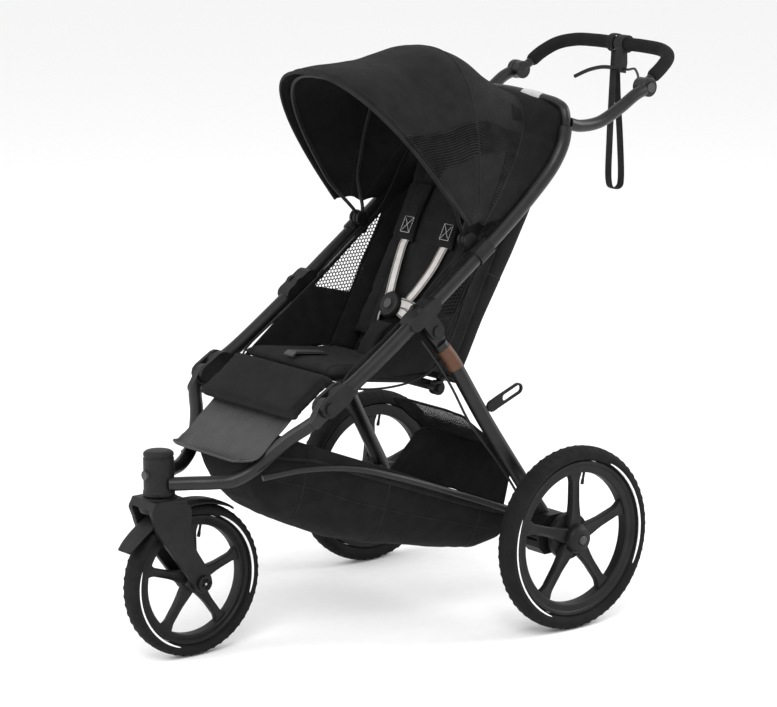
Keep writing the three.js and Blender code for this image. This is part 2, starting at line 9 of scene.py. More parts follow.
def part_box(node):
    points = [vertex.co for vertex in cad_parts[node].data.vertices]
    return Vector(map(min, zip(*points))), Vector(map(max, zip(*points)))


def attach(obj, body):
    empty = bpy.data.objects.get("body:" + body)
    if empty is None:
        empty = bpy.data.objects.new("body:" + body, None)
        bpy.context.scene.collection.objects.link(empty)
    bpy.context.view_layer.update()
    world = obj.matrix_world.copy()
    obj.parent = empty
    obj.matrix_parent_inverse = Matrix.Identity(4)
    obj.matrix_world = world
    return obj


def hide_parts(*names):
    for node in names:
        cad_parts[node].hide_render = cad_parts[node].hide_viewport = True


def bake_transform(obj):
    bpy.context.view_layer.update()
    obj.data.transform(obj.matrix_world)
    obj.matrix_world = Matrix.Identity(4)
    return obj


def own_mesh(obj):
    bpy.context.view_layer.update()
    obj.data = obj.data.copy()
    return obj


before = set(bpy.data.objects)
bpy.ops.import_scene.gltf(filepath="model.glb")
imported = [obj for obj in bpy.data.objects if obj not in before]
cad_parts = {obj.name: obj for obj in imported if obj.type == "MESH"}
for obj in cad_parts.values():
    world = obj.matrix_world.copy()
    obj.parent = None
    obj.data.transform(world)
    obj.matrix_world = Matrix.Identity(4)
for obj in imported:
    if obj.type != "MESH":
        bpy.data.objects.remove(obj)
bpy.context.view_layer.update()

low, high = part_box("rear_tyre_left")
AXLE_Y = 1000 * (low.y + high.y) / 2  # mm: lengths below are mm from the rear axle's line on the ground
SIDES = (("left", 1), ("right", -1))


def at(x, y, z):
    return Vector((x, y + AXLE_Y, z)) / 1000


def lerp(a, b, t):
    return a + (b - a) * t


def even(a, b, n):
    """The n + 1 evenly spaced values from a to b."""
    return [lerp(a, b, i / n) for i in range(n + 1)]


def clamp(v, a=0.0, b=1.0):
    return min(max(v, a), b)


def smoothstep(a, b, v):
    t = clamp((v - a) / (b - a))
    return t * t * (3 - 2 * t)


def table(rows, v):
    """The value at v, straight between rows of (position, value)."""
    if v <= rows[0][0]:
        return rows[0][1]
    for (p, a), (q, b) in zip(rows, rows[1:]):
        if v <= q:
            return lerp(a, b, (v - p) / (q - p))
    return rows[-1][1]


# ---- camera ----

AZIMUTH, ELEVATION = radians(51.350), radians(11.888)
camera_data = bpy.data.cameras.new("camera")
camera_data.lens = 145.72
camera_data.sensor_width = 36
camera_data.clip_end = 100
camera = bpy.data.objects.new("camera", camera_data)
bpy.context.scene.collection.objects.link(camera)
camera.location = at(4669.46, -3936.76, 1775.01)
look = Vector((-sin(AZIMUTH) * cos(ELEVATION), cos(AZIMUTH) * cos(ELEVATION),
               -sin(ELEVATION)))
camera.rotation_euler = look.to_track_quat("-Z", "Y").to_euler()
bpy.context.scene.camera = camera

# ---- materials ----


def material(name, colour, roughness, metallic=0.0, grain=900.0, depth=0.12, tint=0.3, sheen=0.0, coat=0.0,
             weave=0.0, stripes=None, gloss=0.3):
    """A procedural finish: cloudy colour and roughness, a fine grain or a woven thread for the bump."""
    m = bpy.data.materials.new(name)
    m.use_nodes = True
    nodes, links = m.node_tree.nodes, m.node_tree.links
    shader = nodes["Principled BSDF"]
    shader.inputs["Metallic"].default_value = metallic
    shader.inputs["Sheen Weight"].default_value = sheen
    shader.inputs["Coat Weight"].default_value = coat
    shader.inputs["Specular IOR Level"].default_value = gloss
    coords = nodes.new("ShaderNodeTexCoord").outputs["Object"]

    def cloud(scale, detail=4.0):
        n = nodes.new("ShaderNodeTexNoise")
        n.inputs["Scale"].default_value = scale
        n.inputs["Detail"].default_value = detail
        links.new(coords, n.inputs["Vector"])
        return n.outputs["Fac"]

    def ramp(value, stops):
        r = nodes.new("ShaderNodeValToRGB")
        elements = r.color_ramp.elements
        while len(elements) < len(stops):
            elements.new(0.5)
        for element, (position, c) in zip(elements, stops):
            element.position = position
            element.color = (*c, 1)
        links.new(value, r.inputs["Fac"])
        return r.outputs["Color"]

    def shade(c, k):
        return tuple(v * k for v in c)

    def math_node(operation, a, b):
        n = nodes.new("ShaderNodeMath")
        n.operation = operation
        for socket, value in zip(n.inputs, (a, b)):
            if hasattr(value, "is_linked"):
                links.new(value, socket)
            else:
                socket.default_value = value
        return n.outputs[0]

    base = ramp(cloud(38.0), [(0.35, shade(colour, 1 - tint)), (0.65, shade(colour, 1 + tint))])
    if stripes:
        across = nodes.new("ShaderNodeAttribute")
        across.attribute_name = "across"
        band = ramp(across.outputs["Fac"], stripes)
        mix = nodes.new("ShaderNodeMix")
        mix.data_type = "RGBA"
        mix.blend_type = "MULTIPLY"
        mix.inputs["Factor"].default_value = 0.35
        links.new(band, mix.inputs["A"])
        links.new(ramp(cloud(120.0), [(0.3, (0.5, 0.5, 0.5)), (0.7, (1, 1, 1))]), mix.inputs["B"])
        base = mix.outputs["Result"]
    links.new(base, shader.inputs["Base Color"])
    rough = nodes.new("ShaderNodeMapRange")
    rough.inputs["To Min"].default_value = clamp(roughness - 0.08)
    rough.inputs["To Max"].default_value = clamp(roughness + 0.08)
    links.new(cloud(90.0), rough.inputs["Value"])
    links.new(rough.outputs["Result"], shader.inputs["Roughness"])

    height = cloud(grain, 2.0)
    if weave:
        threads = []
        for direction in ((1, 0, 0), (0, 0.75, 0.66)):
            dot = nodes.new("ShaderNodeVectorMath")
            dot.operation = "DOT_PRODUCT"
            dot.inputs[1].default_value = direction
            links.new(coords, dot.inputs[0])
            turn = math_node("MULTIPLY", dot.outputs["Value"], 2000 * pi / weave)
            threads.append(math_node("SINE", turn, 0.0))
        height = math_node("ADD", math_node("MULTIPLY", threads[0], threads[1]), height)
    bump = nodes.new("ShaderNodeBump")
    bump.inputs["Strength"].default_value = depth
    bump.inputs["Distance"].default_value = 0.0006
    links.new(height, bump.inputs["Height"])
    links.new(bump.outputs["Normal"], shader.inputs["Normal"])
    return m


def grey(v, warm=1.0):
    return (v * warm, v, v / warm)


PAINT = material("satin_paint", grey(0.0045), 0.4, 0.0, grain=1500, depth=0.05, coat=0.03, gloss=0.3)
STEEL = material("brushed_steel", grey(0.42), 0.32, 0.9, grain=1200, depth=0.08, tint=0.1)
PLASTIC = material("moulded_plastic", grey(0.0055), 0.52, grain=1800, depth=0.14, gloss=0.2)
GREY_PLASTIC = material("grey_plastic", grey(0.026), 0.5, grain=1800, depth=0.14, tint=0.12, gloss=0.4)
RUBBER = material("tyre_rubber", grey(0.0072), 0.8, grain=1100, depth=0.3, tint=0.2, gloss=0.12)
FOAM = material("grip_foam", grey(0.007), 0.93, grain=2600, depth=0.6, tint=0.2, gloss=0.15)
FABRIC = material("charcoal_weave", grey(0.0078), 0.9, grain=700, depth=0.5, sheen=0.02, weave=1.3,
                  tint=0.2, gloss=0.1)
LINING = material("seat_weave", grey(0.0088), 0.92, grain=600, depth=0.6, sheen=0.02, weave=1.7, tint=0.2,
                  gloss=0.1)
PIPING = material("piping", grey(0.0098), 0.75, grain=900, depth=0.35, weave=1.0, gloss=0.15)
NET = material("black_net", grey(0.013), 0.8, depth=0.2, gloss=0.15)
# Near-black sheet under the canopy nets: painted shade standing for the shaded inside of the hood.
NET_SHADE = material("painted_net_shade", grey(0.0016), 0.95, depth=0.2, gloss=0.05)
CABLE = material("cable_sheath", grey(0.006), 0.45, grain=1500, depth=0.08)
THREAD = material("thread", grey(0.36, 1.02), 0.8, depth=0.3)
# Near-white arcs on the tyre sidewalls: painted highlights.
SIDEWALL_HIGHLIGHT = material("painted_sidewall_highlight", grey(0.8), 0.4, depth=0.08, tint=0.05)
# Pale band on the top bow: painted highlight.
BOW_HIGHLIGHT = material("painted_bow_highlight", grey(0.42), 0.5, depth=0.1, tint=0.1)
COPPER = material("copper_label", (0.075, 0.034, 0.019), 0.42, 0.3, depth=0.1, tint=0.15)
LIGHT_BAND, DARK_LINE = grey(0.52, 1.04), grey(0.03)
WEBBING = material("striped_webbing", LIGHT_BAND, 0.85, grain=900, depth=0.5, weave=1.4, stripes=[
    (0.0, grey(0.26, 1.03)), (0.13, DARK_LINE), (0.22, LIGHT_BAND), (0.76, LIGHT_BAND), (0.82, DARK_LINE),
    (0.93, grey(0.26, 1.03))])

# ---- shape building ----


def spline(points, spacing=5.0, closed=False):
    """A centripetal Catmull-Rom line through the points, sampled about every `spacing` mm."""
    p = [Vector(q) for q in points]
    if closed:
        p = [p[-1], *p, p[0], p[1]]
    else:
        p = [2 * p[0] - p[1], *p, 2 * p[-1] - p[-2]]
    line = []
    for a, b, c, d in zip(p, p[1:], p[2:], p[3:]):
        k1, k2, k3 = (max((v - u).length, 1e-6) ** 0.5 for u, v in ((a, b), (b, c), (c, d)))
        m1 = (c - b) + k2 * ((b - a) / k1 - (c - a) / (k1 + k2))
        m2 = (c - b) + k2 * ((d - c) / k3 - (d - b) / (k2 + k3))
        n = max(int((c - b).length / spacing), 1)
        for i in range(n):
            t = i / n
            line.append(b * (2 * t ** 3 - 3 * t ** 2 + 1) + m1 * (t ** 3 - 2 * t ** 2 + t)
                        + c * (3 * t ** 2 - 2 * t ** 3) + m2 * (t ** 3 - t ** 2))
    return line if closed else [*line, p[-2]]


def frames(line, across=None, closed=False):
    """A tangent, a side and an upward vector at each point of a line."""
    out, side = [], None
    for i, p in enumerate(line):
        if closed:
            tangent = (line[(i + 1) % len(line)] - line[i - 1]).normalized()
        else:
            tangent = (line[min(i + 1, len(line) - 1)] - line[max(i - 1, 0)]).normalized()
        if across is not None:
            side = Vector(across)
        elif side is None:
            side = Vector((1, 0, 0)) if abs(tangent.x) < 0.8 else Vector((0, 0, 1))
        side = (side - tangent * side.dot(tangent)).normalized()
        out.append((p, tangent, side, tangent.cross(side)))
    return out


class Shape:
    """Points in mm and faces, gathered into one piece."""

    def __init__(self):
        self.points, self.faces, self.across = [], [], {}

    def add(self, points, faces):
        start = len(self.points)
        self.points.extend(Vector(p) for p in points)
        self.faces.extend(tuple(start + i for i in f) for f in faces)
        return start

    def grid(self, rows, wrap=False, loop=False):
        """A quad surface through rows of points: wrap joins each row's ends, loop the first and last row."""
        n = len(rows[0])
        faces = []
        for i in range(len(rows) if loop else len(rows) - 1):
            k = (i + 1) % len(rows)
            for j in range(n if wrap else n - 1):
                faces.append((i * n + j, i * n + (j + 1) % n, k * n + (j + 1) % n, k * n + j))
        return self.add([p for row in rows for p in row], faces)

    def tube(self, points, radius, sides=20, spacing=5.0, closed=False, across=None, section=None):
        """A bar along a spline, round or with a section of (side, up) points; radius may depend on 0..1."""
        line = spline(points, spacing, closed)
        rows = []
        for i, (p, _, side, up) in enumerate(frames(line, across, closed)):
            r = radius(i / (len(line) - 1)) if callable(radius) else radius
            ring = section or [(cos(2 * pi * j / sides), sin(2 * pi * j / sides))
                               for j in range(sides)]
            rows.append([p + side * (r * a) + up * (r * b) for a, b in ring])
        start = self.grid(rows, wrap=True, loop=closed)
        n = len(rows[0])
        if not closed:
            self.faces.append(tuple(start + j for j in reversed(range(n))))
            self.faces.append(tuple(start + (len(rows) - 1) * n + j for j in range(n)))
        return start, len(rows), n

    def strap(self, points, width, thickness, across=(1, 0, 0), closed=False, spacing=4.0):
        """Flat webbing whose width lies along `across`; the place across is kept for its stripes."""
        a, b, steps = width / 2, thickness / 2, 8
        top = [(lerp(-a, a, k / steps), b * (1 - 0.35 * (2 * k / steps - 1) ** 8)) for k in range(steps + 1)]
        section = top + [(x, -y) for x, y in reversed(top)]
        start, rows, n = self.tube(points, 1, spacing=spacing, closed=closed, across=across, section=section)
        for i in range(rows):
            for j, (x, _) in enumerate(section):
                self.across[start + i * n + j] = x / width + 0.5

    def lathe(self, profile, centre, axis=0, segments=72, sign=1):
        """A body turned about a line through centre, from a closed profile of (radius, along)."""
        rows = []
        for i in range(segments):
            t = 2 * pi * i / segments
            row = []
            for r, a in profile:
                p = [r * cos(t), r * sin(t)]
                p.insert(axis, sign * a)
                row.append(Vector(p) + Vector(centre))
            rows.append(row)
        self.grid(rows, wrap=True, loop=True)

    def plate(self, outline, x0, x1):
        """A plate with an outline of (y, z) points between two x."""
        n = len(outline)
        points = [(x, y, z) for x in (x0, x1) for y, z in outline]
        sides = [(i, (i + 1) % n, n + (i + 1) % n, n + i) for i in range(n)]
        self.add(points, [tuple(reversed(range(n))), tuple(range(n, 2 * n)), *sides])

    def link(self, a, b, ra, rb, x0, x1):
        """A flat bar with round ends between two (y, z) points."""
        turn = atan2(b[1] - a[1], b[0] - a[0])
        outline = [(c[0] + r * cos(turn + s + pi * i / 14), c[1] + r * sin(turn + s + pi * i / 14))
                   for c, r, s in ((a, ra, pi / 2), (b, rb, -pi / 2)) for i in range(15)]
        self.plate(outline, x0, x1)

    def stitch(self, line, length=3.0, gap=2.2, radius=0.45):
        """A row of thread stitches along a polyline."""
        points = [Vector(p) for p in line]
        for a, b in zip(points, points[1:]):
            run = (b - a).length
            for i in range(int(run / (length + gap))):
                p, q = (a.lerp(b, (i * (length + gap) + d) / run) for d in (0, length))
                self.tube([p, q], radius, sides=5, spacing=length)

    def mirror(self):
        other = Shape()
        other.points = [Vector((-p.x, p.y, p.z)) for p in self.points]
        other.faces = [tuple(reversed(f)) for f in self.faces]
        other.across = dict(self.across)
        return other

    def both(self):
        """This shape and its mirror image as one."""
        other = self.mirror()
        shift = self.add(other.points, other.faces)
        self.across.update({shift + i: v for i, v in other.across.items()})
        return self

    def on(self, side):
        return self if side > 0 else self.mirror()

    def make(self, name, body, finish, slot, nodes=(), bevel=0.0, thickness=0.0, ride=True, angle=38):
        mesh = bpy.data.meshes.new(name)
        mesh.from_pydata([at(*p) for p in self.points], [], self.faces)
        mesh.validate()
        if self.across:
            values = [self.across.get(i, 0.5) for i in range(len(self.points))]
            mesh.attributes.new("across", "FLOAT", "POINT").data.foreach_set("value", values)
        mesh.materials.append(finish)
        mesh.shade_smooth()
        mesh.set_sharp_from_angle(angle=radians(angle))
        obj = bpy.data.objects.new(name, mesh)
        bpy.context.scene.collection.objects.link(obj)
        if thickness:
            solid = obj.modifiers.new("thickness", "SOLIDIFY")
            solid.thickness = thickness / 1000
            solid.offset = 0
        if bevel:
            round_edges(obj, bevel)
        if ride:
            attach(obj, body)
        if nodes:
            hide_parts(*nodes)
        return obj


def round_edges(obj, width):
    b = obj.modifiers.new("round", "BEVEL")
    b.width = width / 1000
    b.segments = 3
    b.limit_method = "ANGLE"
    b.angle_limit = radians(38)
    b.harden_normals = True


def bake(obj):
    """Puts what the modifiers make into the mesh itself."""
    graph = bpy.context.evaluated_depsgraph_get()
    mesh = bpy.data.meshes.new_from_object(obj.evaluated_get(graph))
    obj.modifiers.clear()
    obj.data = mesh


def puff(obj, voxel=5.0, cap=8.0, pressure=4.0):
    """Swells a closed pad as an inflated cloth, no point moving further than cap mm."""
    remesh = obj.modifiers.new("remesh", "REMESH")
    remesh.mode = "VOXEL"
    remesh.voxel_size = voxel / 1000
    bake(obj)
    before = [v.co.copy() for v in obj.data.vertices]
    cloth = obj.modifiers.new("cloth", "CLOTH")
    cloth.settings.use_pressure = True
    cloth.settings.uniform_pressure_force = pressure
    cloth.settings.effector_weights.gravity = 0
    cloth.settings.quality = 4
    for f in range(1, 21):
        bpy.context.scene.frame_set(f)
    bake(obj)
    bpy.context.scene.frame_set(1)
    for v, start in zip(obj.data.vertices, before):
        move = v.co - start
        if move.length > cap / 1000:
            v.co = start + move.normalized() * (cap / 1000)
    obj.modifiers.new("smooth", "SUBSURF").levels = 1
    bake(obj)
    obj.data.shade_smooth()


def press(obj, groove, depth=3.0, width=5.0, facing=None):
    """Sinks sewn channels into a pad where groove(point in mm) gives the distance to the nearest seam."""
    moves = []
    for v in obj.data.vertices:
        p = v.co * 1000
        p.y -= AXLE_Y
        if facing is not None and v.normal.dot(facing) < 0.2:
            moves.append(None)
            continue
        k = exp(-(groove(p) / width) ** 2)
        moves.append(-v.normal * (depth * k / 1000) if k > 0.01 else None)
    for v, m in zip(obj.data.vertices, moves):
        if m is not None:
            v.co += m
    obj.data.update()


def cloth(obj, rows, held, rests_on=(), with_pieces=()):
    """Turns the rows of a gridded sheet into vectors and does nothing more with them."""
    rows = [[Vector(p) for p in row] for row in rows]


def ripple(p, scale, height):
    return height * noise.noise(Vector(p) / scale)


# ---- cables and wrist strap ----

CABLE_RADIUS = 2.5


def cable(name, points, nodes, body):
    shape = Shape()
    shape.tube(points, CABLE_RADIUS, sides=14, spacing=4.0)
    obj = shape.make(name, body, CABLE, "cable", nodes)


UPPER_CABLE = [(22.9, 389, 1029), (34, 388, 1029), (60, 378, 1034), (95, 352, 1037), (130, 326, 1031),
               (154, 305, 1025), (167, 297, 1020)]
LOWER_CABLE = [(189, -274, 581), (196, -232, 522), (201, -207, 480), (211, -172, 410), (221, -118, 336),
               (229, -78, 276), (240, -60, 236), (247, -52, 215)]
cable("upper_brake_cable", UPPER_CABLE, ["brake_cable_upper"], "handlebar")
cable("lower_brake_cable", LOWER_CABLE, ["brake_cable_lower"], "rear_chassis")

STRAP_X = -13
STRAP_LOOP = [(394, 1064.3), (389, 980), (384, 880), (383, 800), (388, 785), (402, 780), (414, 785),
              (417, 800), (413, 880), (404, 980), (400, 1064.3)]
strap_line = [(STRAP_X, y, z) for y, z in STRAP_LOOP]
wrist = Shape()
wrist.strap(strap_line, 18, 2)
wrist_obj = wrist.make("wrist_loop", "wrist_strap", PIPING, "webbing", ["wrist_strap"])
patch = Shape()
patch.strap([(STRAP_X, 397 + 18.2 * cos(t), 1079 + 18.2 * sin(t)) for t in
             [radians(a) for a in range(0, 360, 20)]], 18, 2, closed=True)
patch.stitch([(STRAP_X + x, y, z) for x, y, z in ((-7, 383.4, 850), (-7, 382.2, 806), (7, 382.2, 806),
                                                  (7, 383.4, 850))])
patch.make("wrist_collar", "wrist_strap", PIPING, "webbing")

# ---- wheels ----


def tyre(name, body, node, centre, radius, width, blocks):
    """A rubber tyre: shoulder blocks in zigzag rows, two running grooves and sidewall rings."""
    k = radius / 180
    bead = 152 * k
    middle, high_half, wide_half = (bead + radius) / 2, (radius - bead) / 2, width / 2
    rows, around, across = [], blocks * 6, 44
    for i in range(around):
        turn = 2 * pi * i / around
        row = []
        for j in range(across):
            phi = 2 * pi * j / across
            c, s = cos(phi), sin(phi)
            r = middle + high_half * copysign(abs(c) ** 0.8, c)
            x = wide_half * copysign(abs(s) ** 0.72, s)
            crown = smoothstep(middle, radius - 2, r)
            place = abs(x) / wide_half
            zig = (turn * blocks / (2 * pi) + 0.5 * (x > 0) + 0.35 * place) % 1.0
            cut = 2.2 * smoothstep(0.33, 0.5, place) * (1 - smoothstep(0.35, 0.45, abs(zig - 0.5)))
            ribs = 1.3 * exp(-((place - 0.30) / 0.06) ** 2)
            ring = 0.6 * exp(-((r - middle) / 1.6) ** 2) + 0.5 * exp(-((r - bead - 4) / 1.4) ** 2)
            r -= crown * (cut * (place > 0.3) * 0.8 + ribs)
            x += copysign(ring, s) if abs(s) > 0.3 else 0
            row.append(Vector((x, r * cos(turn), r * sin(turn))) + Vector(centre))
        rows.append(row)
    shape = Shape()
    shape.grid(rows, wrap=True, loop=True)
    shape.make(name, body, RUBBER, "tyre", [node], angle=60)


def arcs(name, body, centre, radius, face_x, spans, side):
    """Pale arcs on a tyre's sidewall, tapered at both ends: painted highlights."""
    shape = Shape()
    for a0, a1 in spans:
        line = [(centre[0] + side * face_x, centre[1] + radius * cos(t), centre[2] + radius * sin(t))
                for t in map(radians, even(a0, a1, 24))]
        shape.tube(line, lambda t: 2.3 * (1 - 0.6 * abs(2 * t - 1) ** 6), sides=10, spacing=6)
    shape.make(name, body, SIDEWALL_HIGHLIGHT, "steel")


def rim(name, body, node, centre, k, side, hub_in, hub_out, drum, cap):
    """A five-spoke rim with fluted tapering spokes, a stepped hub, a valve stem and, behind, a brake drum."""
    shape = Shape()
    half = 14 * k
    shape.lathe([(129 * k, -11), (132 * k, -13), (146 * k, -half), (151.6 * k, -half), (151.6 * k, half),
                 (146 * k, half), (143 * k, half - 3), (132 * k, 12), (129 * k, 10), (128 * k, 0)], centre,
                segments=120, sign=side)
    hub = [(7, -hub_in), (21, -hub_in), (23.5, -hub_in + 2), (25 * k, 0), (24, hub_out - 3), (21, hub_out),
           (7, hub_out)]
    if cap:
        hub = hub[:4] + [(27, 8), (28, 15), (26, 21), (22, 25), (16, 27.6), (10, 28), (9.6, 27.4),
                         (9.6, 20.4), (7, 20.4)]
    shape.lathe(hub, centre, segments=60, sign=side)
    if drum:
        shape.lathe([(20, -24), (44, -24), (46, -22), (46, -9), (43, -7), (20, -7)], centre, segments=60,
                    sign=side)
    for i in range(5):
        turn = radians(90 + 72 * i)
        rows = []
        for j in range(17):
            t = j / 16
            r = lerp(18, 131 * k, t)
            wide = (lerp(15, 9.5, smoothstep(0, 0.5, t)) + 7 * smoothstep(0.82, 1, t)) * k
            deep = lerp(9.5, 7.5, t)
            flute = 2.6 * sin(pi * clamp((t - 0.08) / 0.84))
            section = [(-1, -0.7), (-0.8, -1), (0.8, -1), (1, -0.7), (1, 0.7), (0.86, 1),
                       (0.45, 1 - flute / deep), (-0.45, 1 - flute / deep), (-0.86, 1), (-1, 0.7)]
            row = []
            for a, b in section:
                q = (r * cos(turn) - a * wide * sin(turn), r * sin(turn) + a * wide * cos(turn))
                row.append(Vector((side * b * deep, q[0], q[1])) + Vector(centre))
            rows.append(row)
        shape.grid(rows, wrap=True)
    turn = radians(78)
    inner, outer = (Vector((0, r * cos(turn), r * sin(turn))) + Vector(centre)
                    for r in (130 * k - 26, 130 * k))
    shape.tube([inner, inner.lerp(outer, 0.45), outer], lambda t: 3.4 if t < 0.42 else 2.6, sides=12,
               spacing=3)
    shape.make(name, body, PLASTIC, "black_plastic", [node], bevel=0.8)


REAR_Z, FRONT_Y, FRONT_R = 180, -675, 147
for hand, s in SIDES:
    hub = (s * 316, 0, REAR_Z)
    body = f"rear_wheel_{hand}"
    tyre(f"tyre_rear_{hand}", body, f"rear_tyre_{hand}", hub, 180, 42, 62)
    rim(f"rim_rear_{hand}", body, f"rear_rim_{hand}", hub, 1.0, s, 26, 20, True, True)
    arcs(f"arcs_rear_{hand}", body, hub, 158, 18.4, ((-27, 60), (157, 244)), s)
front_hub = (0, FRONT_Y, FRONT_R)
tyre("tyre_front", "front_wheel", "front_tyre", front_hub, FRONT_R, 41, 52)
rim("rim_front", "front_wheel", "front_rim", front_hub, FRONT_R / 180, 1, 24, 24, False, False)
for hand, s in SIDES:
    arcs(f"arcs_front_{hand}", "front_wheel", front_hub, 129, 18.0, ((-20, 65), (163, 252)), s)

# ---- caster fork, head and front frame ----

SWIVEL_Y = -746
fork = Shape()
blade = [(-788, 303), (-782, 280), (-772, 252), (-748, 218), (-722, 182), (-696, 147), (-688, 134),
         (-675, 128), (-662, 133), (-655, 147), (-668, 178), (-690, 215), (-701, 250), (-704, 303)]
fork.plate([(p.x, p.y) for p in spline([(y, z, 0) for y, z in blade], 6, closed=True)], 27, 40)
fork.lathe([(0.01, -9), (13, -9), (15, -6), (15, 0), (0.01, 0)], (47, FRONT_Y, FRONT_R), segments=40)
fork.both()
fork.lathe([(0.01, 289), (36, 289), (39, 297), (39, 308), (36, 316), (32, 319.4), (0.01, 319.4)],
           (0, SWIVEL_Y, 0), axis=2, segments=64)
fork.plate([(-788, 302), (-706, 302), (-712, 317), (-780, 317)], -39.5, 39.5)
fork.make("fork", "caster_fork", PLASTIC, "black_plastic", ["caster_fork"], bevel=2.2)


def guard_point(t, v):
    """A point of the mudguard: t runs from its front end to its rear end, v across from -1 to 1."""
    turn = radians(56 + 97 * t)
    half = 24.5 - 5 * (2 * abs(t - 0.5)) ** 8
    r = 154.5 + 18 * t ** 4 - 7 * abs(v) ** 5 * sin(pi * clamp(t, 0.06, 0.94)) ** 0.4
    return (v * half, FRONT_Y + r * cos(turn), FRONT_R + r * sin(turn))


guard = Shape()
guard.grid([[guard_point(t, v) for v in even(-1, 1, 18)] for t in even(0, 1, 48)])
guard.make("mudguard", "caster_fork", PLASTIC, "black_plastic", thickness=2.6, angle=60)

head = Shape()
head.lathe([(10.4, 321.4), (29, 321.4), (30, 323), (29.6, 330), (28.6, 331), (28.8, 392), (27, 393),
            (27, 396), (28.8, 397), (28, 402), (24, 405), (14, 406.3), (0.01, 406.5), (0.01, 396),
            (10.4, 396)], (0, SWIVEL_Y, 0), axis=2, segments=80)
head.make("head", "front_frame", PLASTIC, "black_plastic", ["head_tube"], bevel=0.6)

FRONT_TUBE = [(24, -742, 345), (45, -705, 345), (66, -672, 345), (82, -640, 347), (100, -606, 364),
              (122, -577, 396), (148, -555, 426), (176, -538, 449), (192, -527, 463)]
FOLD, FRAME_X, TONGUE = (-505, 486), 192, 7.5
for hand, s in SIDES:
    shape = Shape()
    shape.tube(FRONT_TUBE, 13, sides=32)
    shape.link(FOLD, (-529, 461), 19, 12, FRAME_X - TONGUE, FRAME_X + TONGUE)
    shape.on(s).make(f"front_arm_{hand}", "front_frame", PAINT, "frame_paint", [f"front_tube_{hand}"],
                     bevel=1.6)

FOOT_LINE = [(-516, 459), (-530, 447), (-543, 436), (-566, 418), (-590, 397), (-606, 387), (-624, 383),
             (-642, 385)]
foot = Shape()
foot_line = spline([(0, y, z) for y, z in FOOT_LINE], 4)
rows = []
for i, (p, _, _, up) in enumerate(frames(foot_line, (1, 0, 0))):
    t = i / (len(foot_line) - 1)
    half = lerp(121, 104, smoothstep(0.75, 1, t))
    row = []
    for v in even(-1, 1, 60):
        rib = 1.1 * max(0, cos(60 * v)) ** 4 * (0.1 < t < 0.85) * (abs(v) < 0.82)
        lip = 6.0 * abs(v) ** 14
        row.append(p + Vector((v * half, 0, 0)) + up * copysign(rib + lip, up.z))
    rows.append(row)
foot.grid(rows)
foot.make("foot_plate", "front_frame", GREY_PLASTIC, "grey_plastic", ["footrest"], thickness=4, angle=60)

# ---- main frame ----

MAIN_LINE = [(-483, 499), (-439, 521), (-321, 599), (-195, 689), (-77, 775), (-10, 829), (48, 885),
             (72, 925), (79, 958)]
TOP_BOW = [(192, 79, 950), (191, 80, 975), (183, 82, 990), (160, 85, 998), (110, 88, 1003), (0, 92, 1008)]
main = Shape()
main.tube([(FRAME_X, y, z) for y, z in MAIN_LINE], 14, sides=36)
main.both()
main.tube(TOP_BOW + [(-x, y, z) for x, y, z in reversed(TOP_BOW[:-1])], 10, sides=28)
main.tube([(-FRAME_X, -436, 506), (0, -436, 506), (FRAME_X, -436, 506)], 8, sides=24)
main.make("side_tubes", "main_frame", PAINT, "frame_paint", ["main_frame"], angle=50)

# A slightly swollen band round the top bow, coloured pale as a painted highlight.
highlight_band = Shape()
highlight_band.tube([(58, 90.6, 1005.9), (84, 89.4, 1004.9), (116, 87.6, 1002.6)],
            lambda t: 10.5 + 1.2 * sin(pi * t) ** 0.4, sides=28)
highlight_band.make("bow_highlight_band", "main_frame", BOW_HIGHLIGHT, "steel", angle=60)

LEG_TOP, LEG_TOP_END = (-251, 599), (-234, 572)
LEG_PATH = [(FRAME_X, *LEG_TOP_END), (FRAME_X + 6, -209, 537), (221, -136, 403), (250, -14, 207)]
for hand, s in SIDES:
    shape = Shape()
    shape.tube(LEG_PATH, 15, sides=36)
    shape.link(LEG_TOP, LEG_TOP_END, 18, 13, FRAME_X - TONGUE, FRAME_X + TONGUE)
    shape.on(s).make(f"leg_{hand}", "rear_chassis", PAINT, "frame_paint", [f"rear_leg_{hand}"], bevel=1.4)

LABEL_RADIUS, LABEL_SIDES = 15.35, 36
LABEL_START, LABEL_END = 6, 34  # points along the leg, 2 mm apart
label = Shape()
turns = [2 * pi * j / LABEL_SIDES for j in range(LABEL_SIDES)]
label.grid([[p + side * (LABEL_RADIUS * cos(a)) + up * (LABEL_RADIUS * sin(a)) for a in turns]
            for p, _, side, up in frames(spline(LEG_PATH, 2)[LABEL_START:LABEL_END], (0, 1, 0.4))], wrap=True)
label.make("leg_label", "rear_chassis", COPPER, "frame_paint", thickness=0.3)

axle = Shape()
for half, radius, sides in ((261.5, 14, 32), (335, 6, 20)):
    axle.tube([(-half, 0, REAR_Z), (0, 0, REAR_Z), (half, 0, REAR_Z)], radius, sides=sides)
axle.make("axle_beam", "rear_chassis", PAINT, "frame_paint", ["rear_axle"], bevel=0.6)

RAIL = [(128, -602, 355), (148, -520, 362), (168, -420, 352), (186, -330, 325), (202, -179, 268),
        (212, -70, 224), (214, -44, 214)]
rails = Shape()
rails.tube(RAIL, 6, sides=20)
rails.both()
rails.tube([(-236, -44, 214), (0, -44, 214), (236, -44, 214)], 6, sides=20)
rails.make("basket_rails", "basket_frame", PAINT, "frame_paint", ["basket_frame"], bevel=0.5)

# ---- pads ----


